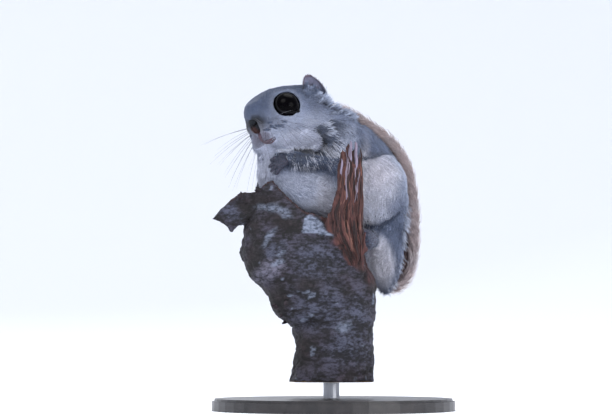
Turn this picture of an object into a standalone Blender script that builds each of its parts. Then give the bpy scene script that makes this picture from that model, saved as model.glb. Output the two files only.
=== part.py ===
"""A Siberian flying squirrel in its winter coat, hunched on a broken branch stub, on a plain display stand.

Lengths are in millimetres while the shapes are made, and each finished mesh is scaled to metres at the end.
+Z is up, +X is towards the rump, and the animal faces -X, turned a little towards -Y.
The origin is the middle of the stand's underside.
The flesh is one body of blended ovals, cut into named parts by ovals that leave a thin gap.
"""

import math

import bmesh
import bpy
import numpy as np
from mathutils import Matrix

MM_TO_M = 0.001
GAP = 0.3
WIDE_GAP = 0.5

# How the animal sits
BODY_YAW = math.radians(20.0)
HEAD_YAW = math.radians(36.0)
HEAD_PITCH = math.radians(-14.0)
HEAD_ROLL = math.radians(7.0)
HEAD_CENTRE = np.array([-20.0, -7.5, 146.5])

# Eyes, nose and ears, measured in the head's own frame: forward, left, up
EYE_RADIUS = 6.9
EYE_PLACE = np.array([9.8, 9.3, 3.4])
EYE_LOOK = np.array([0.42, 0.87, 0.2])
LID_RADIUS = 6.35
LID_THICKNESS = 0.85
LID_HEIGHT = 3.2
LID_POINT = 0.14
ORBIT_DEPTH = 3.0
NOSE_PLACE = np.array([23.2, 0.0, -1.0])
NOSE_RADII = np.array([2.8, 3.5, 3.0])
NOSTRIL_INNER = np.array([2.5, 1.1, -0.5])
NOSTRIL_OUTER = np.array([1.6, 2.9, 0.4])
NOSTRIL_RADIUS = 0.55
MOUTH_INSIDE = np.array([15.0, 0.0, -5.0])
MOUTH_WAYS = (
    (10, 0, 2.5), (10, 0, -1.5), (8, 0, -5.8), (7, 2.6, -6.2), (6, 5.6, -5.4), (4.8, 7.6, -4.1),
)
MOUTH_GROOVE = 0.55
EAR_PLACE = np.array([-8.2, 10.8, 6.0])
EAR_UP = np.array([0.0, 0.3, 0.93])
FAR_EAR_UP = np.array([-0.5, -0.45, 0.8])
EAR_OPEN = np.array([0.5, 0.86, 0.0])
EAR_HEIGHT = 11.0
EAR_ROOT = 1.5
EAR_WIDTH = 12.5
EAR_CUP = 3.2
EAR_THICKNESS = 1.1

# Limbs, measured in the body's own frame: forward, left, up
SHOULDER = np.array([-1.0, 13.5, 131.0])
ELBOW = np.array([1.0, 20.5, 119.5])
LEFT_WRIST = np.array([29.5, 16.5, 122.5])
RIGHT_WRIST = np.array([28.0, -13.0, 118.0])
THIGH = np.array([-20.0, 14.0, 106.0])
THIGH_RADII = np.array([14.0, 11.0, 19.0])
MEMBRANE = np.array([7.5, 12.5, 109.0])
MEMBRANE_RADII = np.array([21.0, 10.0, 12.0])
HEEL = np.array([-26.5, 17.0, 93.0])
ANKLE = np.array([-15.0, 19.0, 84.0])
LEFT_HAND_FORWARD = np.array([0.72, -0.55, -0.42])
LEFT_HAND_UP = np.array([0.35, 0.75, 0.2])
RIGHT_HAND_FORWARD = np.array([0.8, 0.15, -0.5])
RIGHT_HAND_UP = np.array([0.5, -0.2, 0.85])
FOOT_FORWARD = np.array([0.65, 0.75, -0.1])
FOOT_UP = np.array([-0.75, 0.65, 0.1])
HAND_SIZE = (4.2, 3.2, 2.4)
FOOT_SIZE = (6.0, 4.0, 2.8)
FINGER_LENGTH = 5.5
FINGER_RADIUS = 0.95
TOE_LENGTH = 7.0
TOE_RADIUS = 1.15
CLAW_LENGTH = 2.2

# The tail lies up along the back: its line in the body's frame (forward, up), from the rump to its tip
TAIL_LINE = np.array([
    (-27.5, 60.5), (-33.5, 62.0), (-38.5, 68.0), (-41.0, 77.0), (-42.2, 87.0), (-42.2, 97.0), (-41.4, 107.0),
    (-39.6, 117.0), (-36.0, 126.0), (-30.5, 133.0), (-24.0, 138.6), (-16.5, 143.6), (-6.5, 149.0),
])
TAIL_STEPS = np.linalg.norm(np.diff(TAIL_LINE, axis=0), axis=1)
TAIL_LENGTH = float(TAIL_STEPS.sum())
TAIL_SHARES = np.concatenate([[0.0], np.cumsum(TAIL_STEPS)]) / TAIL_LENGTH
TAIL_CORE_HALF_WIDTH = 7.5
TAIL_CORE_HALF_THICKNESS = 3.3
TAIL_LOCK_LENGTH = 12.5
TAIL_LOCK_WIDTH = 7.0
TAIL_LOCK_THICKNESS = 1.3
TAIL_LOCK_DROOP = 5.0
TAIL_LOCKS_A_SIDE = 7
TAIL_LENGTHS = {"tail_tip": (0.67, 1.0), "tail_middle": (0.34, 0.67), "tail_base": (0.0, 0.34)}

# The branch stub and the stand: widths and heights of its outline seen from the front
CUT_HEIGHT = 14.0
STEM_RINGS = 9
STEM_SIDES = 24
STEM_Y = -3.0
STEM_BOXINESS = 2.6
STEM_LEVELS = (14, 30, 42, 44.5, 48, 55, 62, 67, 73, 80, 86, 95, 104, 112)
STEM_LEFT = (-22, -20.5, -19.5, -24, -27, -30.5, -35.5, -40, -42.5, -46, -46, -44, -43, -43)
STEM_RIGHT = (20, 20, 20, 20, 20, 20.5, 21, 20.5, 20, 18.5, 16.5, 15, 14.5, 14.5)
STEM_DEPTH = (19, 19, 19, 20, 20.5, 22, 23.5, 24.5, 25, 25, 25, 25, 25, 25)
STEM_TOP_X = (-48, -38, -33, -26, -16, 0, 16)
STEM_TOP_Z = (106, 108.5, 112, 107, 97, 92, 87)
STEM_TOP_LEVEL = 112.0
FLAKE_OUTLINE = (
    (-36, 108.5), (-46, 106), (-52, 101.5), (-56, 97.5), (-60, 93.5),
    (-55.5, 92.5), (-50, 87), (-46.5, 90.5), (-43, 92), (-36, 98),
)
FLAKE_NEAR = -19.0
FLAKE_FAR = -4.0
FLAKE_TAPER = 0.22
SPLINTER_Y = -31.5
SPLINTER_HALF_DEPTH = 3.6
SPLINTER_TINES = (
    (3.4, 0.6, 126.5, 1.6), (6.4, -0.8, 129.7, 1.9), (9.4, 0.9, 128.4, 1.7), (12.2, -0.5, 121.8, 1.5),
)
ROD_PLACE = (-1.0, -3.0)
ROD_RADIUS = 4.0
BASE_RADIUS = 60.0
BASE_THICKNESS = 6.0

# Colour and roughness of the nodes whose names start with these words
LOOKS = {
    "head": ((0.42, 0.43, 0.47), 0.9),
    "neck": ((0.42, 0.43, 0.47), 0.9),
    "torso": ((0.42, 0.42, 0.45), 0.9),
    "arm": ((0.33, 0.34, 0.38), 0.9),
    "membrane": ((0.74, 0.74, 0.8), 0.9),
    "thigh": ((0.74, 0.72, 0.78), 0.9),
    "shank": ((0.4, 0.4, 0.44), 0.9),
    "ear": ((0.42, 0.33, 0.35), 0.8),
    "eye": ((0.004, 0.004, 0.006), 0.08),
    "nose": ((0.1, 0.045, 0.035), 0.5),
    "hand": ((0.3, 0.27, 0.28), 0.8),
    "foot": ((0.3, 0.27, 0.28), 0.8),
    "tail": ((0.44, 0.34, 0.29), 0.9),
    "perch": ((0.12, 0.075, 0.07), 0.85),
    "stand": ((0.05, 0.05, 0.05), 0.4),
}
CREASE_ANGLE = math.radians(40.0)

# How fine the flesh is made
FLESH_VOXEL = 0.8
FLESH_TRIANGLES = 5600
FACE_MIDDLE = (10.0, 0.0, 0.0)
FACE_REACH = 26.0
FACE_FADE = 8.0
FACE_SHARE = 0.55
WELD = 0.0005
CARVE_MARGIN = 0.9
TRIANGLES = {
    "head": 3000, "neck": 520, "torso": 2000, "arm_left": 420, "arm_right": 420, "membrane_left": 360,
    "membrane_right": 360, "thigh_left": 400, "thigh_right": 400, "shank_left": 240, "shank_right": 240,
}


def clear_scene():
    for obj in list(bpy.data.objects):
        bpy.data.objects.remove(obj)


def turned_axes(yaw, pitch=0.0, roll=0.0):
    """Rows are forward, left and up of a frame that faces -X before it is turned."""
    forward = np.array([-math.cos(yaw) * math.cos(pitch), -math.sin(yaw) * math.cos(pitch), math.sin(pitch)])
    level_left = np.array([math.sin(yaw), -math.cos(yaw), 0.0])
    level_up = np.cross(forward, level_left)
    left = level_left * math.cos(roll) + level_up * math.sin(roll)
    return np.array([forward, left, np.cross(forward, left)])


BODY_AXES = turned_axes(BODY_YAW)
HEAD_AXES = turned_axes(HEAD_YAW, HEAD_PITCH, HEAD_ROLL)


def in_body(place):
    return np.asarray(place, float) @ BODY_AXES


def in_head(place):
    return HEAD_CENTRE + np.asarray(place, float) @ HEAD_AXES


def mirrored(place):
    return np.array([place[0], -place[1], place[2]])


def oval(centre, radii, axes, blend):
    return {
        "centre": np.asarray(centre, float),
        "radii": np.asarray(radii, float),
        "axes": axes,
        "blend": blend,
    }


def body_oval(place, radii, blend, pitch=0.0, roll=0.0):
    return oval(in_body(place), radii, turned_axes(BODY_YAW, math.radians(pitch), math.radians(roll)), blend)


def head_oval(place, radii, blend):
    return oval(in_head(place), radii, HEAD_AXES, blend)


def limb(start, end, start_radius, end_radius, blend):
    return {
        "start": np.asarray(start, float),
        "end": np.asarray(end, float),
        "radii": (start_radius, end_radius),
        "blend": blend,
    }


HEAD_CUT = head_oval((3.5, 0, -2.0), (26.6, 19.6, 17.6), 0)
NECK_CUT = body_oval((8, 0, 139), (22, 18, 15), 0)


# Blended distances

def distance_to(points, lump, grown_by=0.0):
    """Roughly the distance from each point to the surface of an oval or a tapered limb."""
    if "start" in lump:
        along = lump["end"] - lump["start"]
        share = np.clip((points - lump["start"]) @ along / (along @ along), 0.0, 1.0)
        radius = lump["radii"][0] + share * (lump["radii"][1] - lump["radii"][0])
        return np.linalg.norm(points - lump["start"] - share[:, None] * along, axis=1) - radius - grown_by
    radii = lump["radii"] + grown_by
    local = (points - lump["centre"]) @ lump["axes"].T
    inner = np.linalg.norm(local / radii, axis=1)
    outer = np.maximum(np.linalg.norm(local / radii**2, axis=1), 1e-9)
    return inner * (inner - 1.0) / outer


def blended(first, second, reach):
    """Smooth union of two distances, rounded over the reach."""
    share = np.clip(0.5 + 0.5 * (second - first) / reach, 0.0, 1.0)
    return second + (first - second) * share - reach * share * (1.0 - share)


def flesh_field(points, lumps):
    found = distance_to(points, lumps[0])
    for lump in lumps[1:]:
        away = distance_to(points, lump)
        if lump.get("hollow"):
            found = -blended(-found, away, lump["blend"])
        else:
            found = blended(found, away, lump["blend"])
    return found


# The animal's lumps

def torso_lumps():
    return [
        body_oval((-2, 0, 127.5), (22.5, 20, 19.5), 6),
        body_oval((-13, 0, 112), (23, 22, 26), 8),
        body_oval((-21, 0, 93), (16, 21, 26), 8),
        body_oval((-28, 1, 75), (7.0, 12, 16), 6),
        body_oval((27, 0, 121), (12.5, 15, 20), 8),
        body_oval((11, 0, 107), (22, 18, 14), 8),
        body_oval((9, 0, 138), (17, 15, 12), 8),
    ]


def side_lumps(side):
    """Thigh, loose gliding skin, shank and upper arm of one side: 1 is left, -1 is right."""
    def there(place):
        return (place[0], side * place[1], place[2])

    return {
        "thigh": body_oval(there(THIGH), THIGH_RADII, 2.5, roll=side * 8),
        "shank": limb(in_body(there(HEEL)), in_body(there(ANKLE)), 6.0, 4.4, 2.5),
        "membrane": body_oval(there(MEMBRANE), MEMBRANE_RADII, 2.0, pitch=-8),
        "upper_arm": limb(in_body(there(SHOULDER)), in_body(there(ELBOW)), 10.5, 5.5, 4.0),
    }


def forearm(side):
    if side == 1:
        return limb(in_body(ELBOW), in_body(LEFT_WRIST), 5.0, 3.0, 1.5)
    return limb(in_body(mirrored(ELBOW)), in_body(RIGHT_WRIST), 5.0, 3.0, 1.5)


def eye_centre(side):
    return in_head(EYE_PLACE * np.array([1, side, 1]))


def eye_axis(side):
    return EYE_LOOK / np.linalg.norm(EYE_LOOK) * np.array([1, side, 1]) @ HEAD_AXES


def head_lumps():
    lumps = [
        head_oval((0, 0, 0), (17.5, 15, 14), 6),
        head_oval((10.5, 0, 3.6), (14, 12.5, 10), 5),
        head_oval((16.5, 0, 4.5), (10.0, 10.0, 8.0), 5),
        head_oval((16, 0, -7.5), (8.0, 6.4, 4.6), 3),
        head_oval((1, 0, -9), (15, 13, 8.5), 6),
    ]
    for side in (1, -1):
        lumps += [
            head_oval((6, side * 8.0, -7.5), (12, 7.5, 7), 4),
            head_oval((16, side * 6.5, -8.5), (7.5, 6, 6.5), 3),
            head_oval((-2, side * 11, -11), (11, 7, 6.5), 2.5),
            head_oval((19.0, side * 5, -2.0), (6.4, 5.2, 5.4), 2),
            head_oval((-5, side * 9.5, 6), (6, 5, 5), 4),
        ]
    for side in (1, -1):
        dish = np.hypot(LID_RADIUS, ORBIT_DEPTH)
        centre = eye_centre(side) + (LID_HEIGHT + ORBIT_DEPTH) * eye_axis(side)
        lumps.append(dict(oval(centre, np.full(3, dish), HEAD_AXES, 1.5), hollow=True))
    return lumps


def on_surface(start, way, field):
    """The point where a line from inside the flesh comes out of it."""
    way = way / np.linalg.norm(way)
    near, far = 0.0, 40.0
    for _ in range(30):
        middle = (near + far) / 2
        if field((start + way * middle)[None, :])[0] < 0:
            near = middle
        else:
            far = middle
    return start + way * near


def cut_mouth(flesh, field):
    """The cleft under the nose and the line of the mouth on each side, sunk into the flesh."""
    inside = in_head(MOUTH_INSIDE)
    for side in (1, -1, 0):
        corners = np.array(MOUTH_WAYS[:3] if side == 0 else MOUTH_WAYS[2:], float)
        steps = np.linspace(0, len(corners) - 1, 3 * len(corners) - 2)
        numbers = np.arange(len(corners))
        ways = np.stack([np.interp(steps, numbers, corners[:, axis]) for axis in range(3)], axis=1)
        path = []
        for way in ways:
            turned = np.array([way[0], side * way[1], way[2]]) @ HEAD_AXES
            path.append(on_surface(inside, turned, field))
        radii = [MOUTH_GROOVE] * (len(path) - 1) + [MOUTH_GROOVE * (0.4 if side else 1.0)]
        groove = tube("groove", path, radii, 8)
        boolean(flesh, [groove], "DIFFERENCE")
        remove(groove)


def add_lids(flesh, side):
    """A raised rim round the eye, drawn out to a point at its lower back corner."""
    axis = eye_axis(side)
    back = np.array([-1.0, 0.0, -0.55]) @ HEAD_AXES
    back -= axis * (back @ axis)
    back /= np.linalg.norm(back)
    other = np.cross(axis, back)
    middle = eye_centre(side) + LID_HEIGHT * axis
    count, sides = 22, 6
    made = bmesh.new()
    loops = []
    for step in range(count):
        turn = 2 * math.pi * step / count
        reach = LID_RADIUS * (1.0 + LID_POINT * max(0.0, math.cos(turn)) ** 6)
        out = back * math.cos(turn) + other * math.sin(turn)
        centre = middle + out * reach - axis * LID_POINT * 6 * max(0.0, math.cos(turn)) ** 6
        angles = 2 * math.pi * np.arange(sides) / sides
        rim = centre + LID_THICKNESS * (np.cos(angles)[:, None] * out + 1.3 * np.sin(angles)[:, None] * axis)
        loops.append([made.verts.new(point) for point in rim])
    for index, one in enumerate(loops):
        two = loops[(index + 1) % count]
        for step in range(sides):
            after = (step + 1) % sides
            made.faces.new((one[step], one[after], two[after], two[step]))
    lid = object_from("lid", made)
    boolean(flesh, [lid], "UNION")
    remove(lid)


# Mesh helpers

def new_object(name, mesh):
    obj = bpy.data.objects.new(name, mesh)
    bpy.context.scene.collection.objects.link(obj)
    return obj


def object_from(name, made):
    """A new object from a bmesh, with its faces turned outwards."""
    bmesh.ops.recalc_face_normals(made, faces=made.faces)
    mesh = bpy.data.meshes.new(name)
    made.to_mesh(mesh)
    made.free()
    return new_object(name, mesh)


def read_points(mesh):
    points = np.empty(len(mesh.vertices) * 3, np.float32)
    mesh.vertices.foreach_get("co", points)
    return points.reshape(-1, 3).astype(float)


def write_points(mesh, points):
    mesh.vertices.foreach_set("co", points.astype(np.float32).ravel())
    mesh.update()


def apply_modifiers(obj):
    graph = bpy.context.evaluated_depsgraph_get()
    mesh = bpy.data.meshes.new_from_object(obj.evaluated_get(graph))
    old = obj.data
    obj.modifiers.clear()
    obj.data = mesh
    bpy.data.meshes.remove(old)
    return obj


def remove(*objects):
    for obj in objects:
        bpy.data.objects.remove(obj)


def copied(obj, name):
    return new_object(name, obj.data.copy())


def join(name, objects):
    """One object whose mesh holds all of these, which are removed."""
    made = bmesh.new()
    for obj in objects:
        made.from_mesh(obj.data)
    remove(*objects)
    return object_from(name, made)


def keep_largest(obj):
    """Leaves only the closed surface with the most area."""
    made = bmesh.new()
    made.from_mesh(obj.data)
    bmesh.ops.dissolve_degenerate(made, edges=made.edges, dist=WELD)
    waiting = set(made.faces)
    pieces = []
    while waiting:
        stack = [waiting.pop()]
        piece = set(stack)
        while stack:
            for edge in stack.pop().edges:
                for face in edge.link_faces:
                    if face in waiting:
                        waiting.remove(face)
                        piece.add(face)
                        stack.append(face)
        pieces.append(piece)
    pieces.sort(key=lambda piece: sum(face.calc_area() for face in piece))
    loose = [face for piece in pieces[:-1] for face in piece]
    bmesh.ops.delete(made, geom=loose, context="FACES")
    bmesh.ops.triangulate(made, faces=made.faces)
    made.to_mesh(obj.data)
    made.free()
    return obj


def boolean(obj, others, operation):
    """Uses the manifold solver, since the exact one loses the body where a grown shape touches itself."""
    pieces = bpy.data.collections.new("pieces")
    for other in others:
        pieces.objects.link(other)
    bpy.context.scene.collection.children.link(pieces)
    modifier = obj.modifiers.new("boolean", "BOOLEAN")
    modifier.operation = operation
    modifier.solver = "MANIFOLD"
    modifier.operand_type = "COLLECTION"
    modifier.collection = pieces
    bpy.context.view_layer.update()
    apply_modifiers(obj)
    bpy.data.collections.remove(pieces)
    return obj


def fuse(name, objects):
    """One closed body from several closed bodies that run into each other."""
    first, others = objects[0], objects[1:]
    boolean(first, others, "UNION")
    remove(*others)
    first.name = name
    return keep_largest(first)


def grown(obj, name, reach):
    """A copy of the object, pushed out along its normals."""
    made = copied(obj, name)
    mesh = made.data
    normals = np.empty(len(mesh.vertices) * 3, np.float32)
    mesh.vertices.foreach_get("normal", normals)
    write_points(mesh, read_points(mesh) + normals.reshape(-1, 3) * reach)
    return made


def cut_by(obj, other, gap=GAP):
    """Takes the other shape, grown by the gap, out of the object."""
    cutter = grown(other, "cutter", gap)
    boolean(obj, [cutter], "DIFFERENCE")
    remove(cutter)
    return keep_largest(obj)


def ball(name, centre, radii, axes, level):
    made = bmesh.new()
    bmesh.ops.create_icosphere(made, subdivisions=level, radius=1.0)
    obj = object_from(name, made)
    write_points(obj.data, read_points(obj.data) * radii @ axes + centre)
    return obj


def tube(name, centres, radii, sides, flat_axis=None, flatness=1.0):
    """Rings around a line of centres, closed at both ends. A flat axis squeezes the rings along it."""
    centres = np.asarray(centres, float)
    ways = np.gradient(centres, axis=0)
    ways /= np.linalg.norm(ways, axis=1)[:, None]
    hint = np.array([0.13, 0.21, 0.97]) if flat_axis is None else np.asarray(flat_axis, float)
    made = bmesh.new()
    loops = []
    for centre, way, radius in zip(centres, ways, radii):
        thin = hint - way * (hint @ way)
        thin /= np.linalg.norm(thin)
        wide = np.cross(way, thin)
        turns = 2 * math.pi * np.arange(sides) / sides
        rim = centre + radius * (np.cos(turns)[:, None] * wide + flatness * np.sin(turns)[:, None] * thin)
        loops.append([made.verts.new(point) for point in rim])
    for first, second in zip(loops, loops[1:]):
        for step in range(sides):
            after = (step + 1) % sides
            made.faces.new((first[step], first[after], second[after], second[step]))
    made.faces.new(loops[0][::-1])
    made.faces.new(loops[-1])
    return object_from(name, made)


def limb_ball(name, lump, grown_by, sides=20):
    """A tapered limb with round ends."""
    along = lump["end"] - lump["start"]
    length = np.linalg.norm(along)
    direction = along / length
    first, last = lump["radii"][0] + grown_by, lump["radii"][1] + grown_by
    centres, radii = [], []
    for turn in np.radians(np.linspace(-80, 0, 5)):
        centres.append(lump["start"] + direction * math.sin(turn) * first)
        radii.append(math.cos(turn) * first)
    for turn in np.radians(np.linspace(0, 80, 5)):
        centres.append(lump["end"] + direction * math.sin(turn) * last)
        radii.append(math.cos(turn) * last)
    return tube(name, centres, radii, sides)


def lump_solid(name, lump, grown_by=0.0, level=3):
    if "start" in lump:
        return limb_ball(name, lump, grown_by, 14)
    return ball(name, lump["centre"], lump["radii"] + grown_by, lump["axes"], level)


# The flesh

def settle(mesh, field, rounds=4):
    """Moves each point of the mesh onto the surface where the field is zero."""
    points = read_points(mesh)
    step = 0.05
    for _ in range(rounds):
        here = field(points)
        slope = np.stack([field(points + offset) - here for offset in np.eye(3) * step], axis=1) / step
        length = np.maximum((slope**2).sum(axis=1), 0.05)
        points -= np.clip(here / length, -1.0, 1.0)[:, None] * slope
    write_points(mesh, points)


def make_flesh(lumps):
    """All the lumps as one closed skin, with its finest triangles on the head."""
    flesh = join("torso", [lump_solid("lump", lump, 0.6) for lump in lumps if not lump.get("hollow")])
    remesh = flesh.modifiers.new("remesh", "REMESH")
    remesh.mode = "VOXEL"
    remesh.voxel_size = FLESH_VOXEL
    apply_modifiers(flesh)
    settle(flesh.data, lambda points: flesh_field(points, lumps))
    keep = flesh.vertex_groups.new(name="coarse")
    reach = np.linalg.norm(read_points(flesh.data) - in_head(FACE_MIDDLE), axis=1)
    for index, near in enumerate(np.clip((FACE_REACH - reach) / FACE_FADE, 0.0, 1.0)):
        keep.add([index], 1.0 - FACE_SHARE * float(near), "REPLACE")
    decimate = flesh.modifiers.new("decimate", "DECIMATE")
    decimate.ratio = FLESH_TRIANGLES / (2.0 * len(flesh.data.polygons))
    decimate.vertex_group = "coarse"
    decimate.vertex_group_factor = 1.0
    apply_modifiers(flesh)
    return keep_largest(flesh)


def slim(obj, triangles):
    """Thins the mesh to about this many triangles."""
    decimate = obj.modifiers.new("decimate", "DECIMATE")
    decimate.ratio = min(1.0, triangles / len(obj.data.polygons))
    apply_modifiers(obj)
    return keep_largest(obj)


def carve(flesh, name, lumps, level=3):
    """Splits off the part of the flesh inside these lumps, and leaves the gap in what stays."""
    inner = [lump_solid("inner", lump, CARVE_MARGIN, level) for lump in lumps]
    part = copied(flesh, name)
    cutter = inner[0] if len(inner) == 1 else fuse("inner", inner)
    boolean(part, [cutter], "INTERSECT")
    remove(cutter)
    for lump in lumps:
        outer = lump_solid("outer", lump, CARVE_MARGIN + GAP, level)
        boolean(flesh, [outer], "DIFFERENCE")
        remove(outer)
    keep_largest(flesh)
    return keep_largest(part)


# Head pieces

def make_eye(name, side):
    return ball(name, eye_centre(side), np.full(3, EYE_RADIUS), HEAD_AXES, 3)


def make_nose():
    """The bare pad with a comma-shaped nostril on each side."""
    nose = ball("nose", in_head(NOSE_PLACE), NOSE_RADII, HEAD_AXES, 3)
    for side in (1, -1):
        inner = in_head(NOSE_PLACE + NOSTRIL_INNER * np.array([1, side, 1]))
        outer = in_head(NOSE_PLACE + NOSTRIL_OUTER * np.array([1, side, 1]))
        pit = limb_ball("pit", limb(inner, outer, NOSTRIL_RADIUS, NOSTRIL_RADIUS, 0.0), 0.0, 8)
        boolean(nose, [pit], "DIFFERENCE")
        remove(pit)
    return keep_largest(nose)


def make_ear(name, side):
    """A rounded cup: a leaf outline whose edges curl forward, the same triangles on both faces."""
    rows, columns = 8, 11
    up = (EAR_UP if side == 1 else FAR_EAR_UP) @ HEAD_AXES
    up /= np.linalg.norm(up)
    open_way = EAR_OPEN * np.array([1, side, 1]) @ HEAD_AXES
    open_way -= up * (open_way @ up)
    open_way /= np.linalg.norm(open_way)
    across = np.cross(open_way, up)
    root = in_head(EAR_PLACE * np.array([1, side, 1]))
    made = bmesh.new()
    faces = []
    for offset in (0.5, -0.5):
        sheet = []
        for row in range(rows):
            high = math.sin(0.5 * math.pi * row / (rows - 1))
            half = 0.5 * EAR_WIDTH * (1 - 0.97 * high**3) ** 0.5 * (0.9 + 0.35 * high * (1 - high))
            line = []
            for column in range(columns):
                share = 2 * column / (columns - 1) - 1
                curl = EAR_CUP * ((2 * half * share / EAR_WIDTH) ** 2 - 0.5)
                lean = -1.6 * high**2
                thick = EAR_THICKNESS * (1 - 0.45 * high) * offset
                place = root + up * (EAR_HEIGHT * high - EAR_ROOT)
                place = place + across * (half * share * (1 - 0.12 * share**2))
                line.append(made.verts.new(place + open_way * (curl + lean + thick)))
            sheet.append(line)
        faces.append(sheet)
    front, back = faces
    for row in range(rows - 1):
        for column in range(columns - 1):
            for sheet, flip in ((front, False), (back, True)):
                a, b = sheet[row][column], sheet[row][column + 1]
                c, d = sheet[row + 1][column + 1], sheet[row + 1][column]
                for corners in ((a, b, c), (a, c, d)):
                    made.faces.new(corners[::-1] if flip else corners)
    rim = [(0, column) for column in range(columns)]
    rim += [(row, columns - 1) for row in range(1, rows)]
    rim += [(rows - 1, column) for column in range(columns - 2, -1, -1)]
    rim += [(row, 0) for row in range(rows - 2, 0, -1)]
    for here, after in zip(rim, rim[1:] + rim[:1]):
        near = (front[here[0]][here[1]], back[here[0]][here[1]])
        made.faces.new((*near, back[after[0]][after[1]], front[after[0]][after[1]]))
    return object_from(name, made)


# Hands and feet

def digit(root, way, down, length, radius, bend):
    """A finger or toe that bends down and ends in a small hooked claw."""
    stations = np.array([0.0, 0.3, 0.62, 0.9, 1.0])
    widths = [1.0, 1.0, 0.92, 0.75, 0.4]
    centres = [root + way * length * s + down * length * bend * s**2 for s in stations]
    tip_way = way + down * 2 * bend
    tip_way /= np.linalg.norm(tip_way)
    centres.append(centres[-1] + tip_way * CLAW_LENGTH * 0.55 + down * 0.25)
    centres.append(centres[-1] + (tip_way + down * 0.7) * CLAW_LENGTH * 0.4)
    radii = [radius * w for w in widths] + [radius * 0.36, radius * 0.12]
    return tube("digit", centres, radii, 5)


def make_paw(name, wrist, forward, up, size, digits, length, radius, bend):
    """A palm or sole with its digits fanned across the front."""
    forward = forward / np.linalg.norm(forward)
    across = np.cross(up, forward)
    across /= np.linalg.norm(across)
    up = np.cross(forward, across)
    axes = np.array([forward, across, up])
    palm = ball("palm", wrist + forward * size[0] * 0.8, np.array(size), axes, 2)
    pieces = [palm]
    for index in range(digits):
        share = 2 * index / (digits - 1) - 1
        root = wrist + forward * size[0] * (1.35 - 0.25 * share**2) + across * share * size[1] * 0.78
        way = forward + across * share * 0.28
        way /= np.linalg.norm(way)
        reach = length * (1 - 0.16 * share**2)
        pieces.append(digit(root, way, -up, reach, radius, bend))
    return fuse(name, pieces)


def make_hand(name, side):
    if side == 1:
        wrist = in_body(LEFT_WRIST)
        forward, up = LEFT_HAND_FORWARD @ BODY_AXES, LEFT_HAND_UP @ BODY_AXES
    else:
        wrist = in_body(RIGHT_WRIST)
        forward, up = RIGHT_HAND_FORWARD @ BODY_AXES, RIGHT_HAND_UP @ BODY_AXES
    return make_paw(name, wrist, forward, up, HAND_SIZE, 4, FINGER_LENGTH, FINGER_RADIUS, 0.45)


def make_foot(name, side):
    place = np.array([ANKLE[0], side * ANKLE[1], ANKLE[2]])
    forward = FOOT_FORWARD * np.array([1, side, 1]) @ BODY_AXES
    up = FOOT_UP * np.array([1, side, 1]) @ BODY_AXES
    return make_paw(name, in_body(place), forward, up, FOOT_SIZE, 5, TOE_LENGTH, TOE_RADIUS, 0.5)


# The tail

def tail_frame(share):
    """Centre, way along, width and outward directions of the tail at this share of its length."""
    def place(at):
        return np.array([np.interp(at, TAIL_SHARES, TAIL_LINE[:, column]) for column in (0, 1)])

    def smooth(at):
        offsets = np.linspace(-0.06, 0.06, 5)
        return np.mean([place(np.clip(at + offset, 0, 1)) for offset in offsets], axis=0)

    here = smooth(share)
    way = smooth(min(share + 0.02, 1.0)) - smooth(max(share - 0.02, 0.0))
    way /= np.linalg.norm(way)
    centre = in_body((here[0], 0.0, here[1]))
    along = in_body((way[0], 0.0, way[1]))
    wide = in_body((0.0, 1.0, 0.0))
    return centre, along, wide, np.cross(wide, along)


def tail_half_width(share):
    return TAIL_CORE_HALF_WIDTH * np.interp(share, (0, 0.18, 0.75, 0.93, 1.0), (0.62, 0.95, 1.0, 0.72, 0.3))


def tail_half_thickness(share):
    profile = np.interp(share, (0, 0.15, 0.35, 0.6, 0.8, 1), (0.8, 1, 1, 0.65, 0.5, 0.36))
    return TAIL_CORE_HALF_THICKNESS * profile


def tail_place(share, lateral, outward):
    """A point beside the tail's line that follows its curve, and runs on straight past its tip."""
    centre, along, wide, out = tail_frame(min(share, 1.0))
    return centre + along * max(share - 1.0, 0.0) * TAIL_LENGTH + wide * lateral + out * outward


def skin_of_loops(name, loops, ends):
    """Closes a row of loops of points. Each end is a flat cap, or the one point that it runs to."""
    made = bmesh.new()
    rows = [[made.verts.new(point) for point in loop] for loop in loops]
    count = len(rows[0])
    for one, two in zip(rows, rows[1:]):
        for step in range(count):
            after = (step + 1) % count
            made.faces.new((one[step], one[after], two[after], two[step]))
    for row, end in zip((rows[0][::-1], rows[-1]), ends):
        if end is None:
            made.faces.new(row)
            continue
        tip = made.verts.new(end)
        for step in range(count):
            made.faces.new((row[step], row[(step + 1) % count], tip))
    return object_from(name, made)


def tail_core(first, last):
    rings, sides = 7, 10
    turns = 2 * math.pi * np.arange(sides) / sides
    loops = []
    for share in np.linspace(first, last, rings):
        half, thick = tail_half_width(share), tail_half_thickness(share)
        loops.append([tail_place(share, math.cos(turn) * half, math.sin(turn) * thick) for turn in turns])
    return skin_of_loops("core", loops, (None, None))


def tail_lock(share, side, length, width, spread):
    """A flat tapered lock that leaves the core's edge and follows the tail's curve, drooping at its tip."""
    start = tail_half_width(share) * 0.55

    def line(station):
        lateral = start + length * math.sin(spread) * station * (1 - 0.12 * station)
        further = share + length * math.cos(spread) * station / TAIL_LENGTH
        return tail_place(further, side * lateral, -TAIL_LOCK_DROOP * station**2)

    loops = []
    for station, half in zip((0.0, 0.35, 0.7, 0.92), (0.8, 1.0, 0.72, 0.22)):
        middle = line(station)
        way = line(station + 0.05) - line(station - 0.05)
        way /= np.linalg.norm(way)
        out = tail_frame(min(share, 1.0))[3]
        flat = np.cross(out, way) * half * width / 2
        thick = out * TAIL_LOCK_THICKNESS / 2 * (1 - 0.55 * station)
        loops.append([middle + flat, middle + thick, middle - flat, middle - thick])
    return skin_of_loops("lock", loops, (None, line(1.0)))


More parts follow.
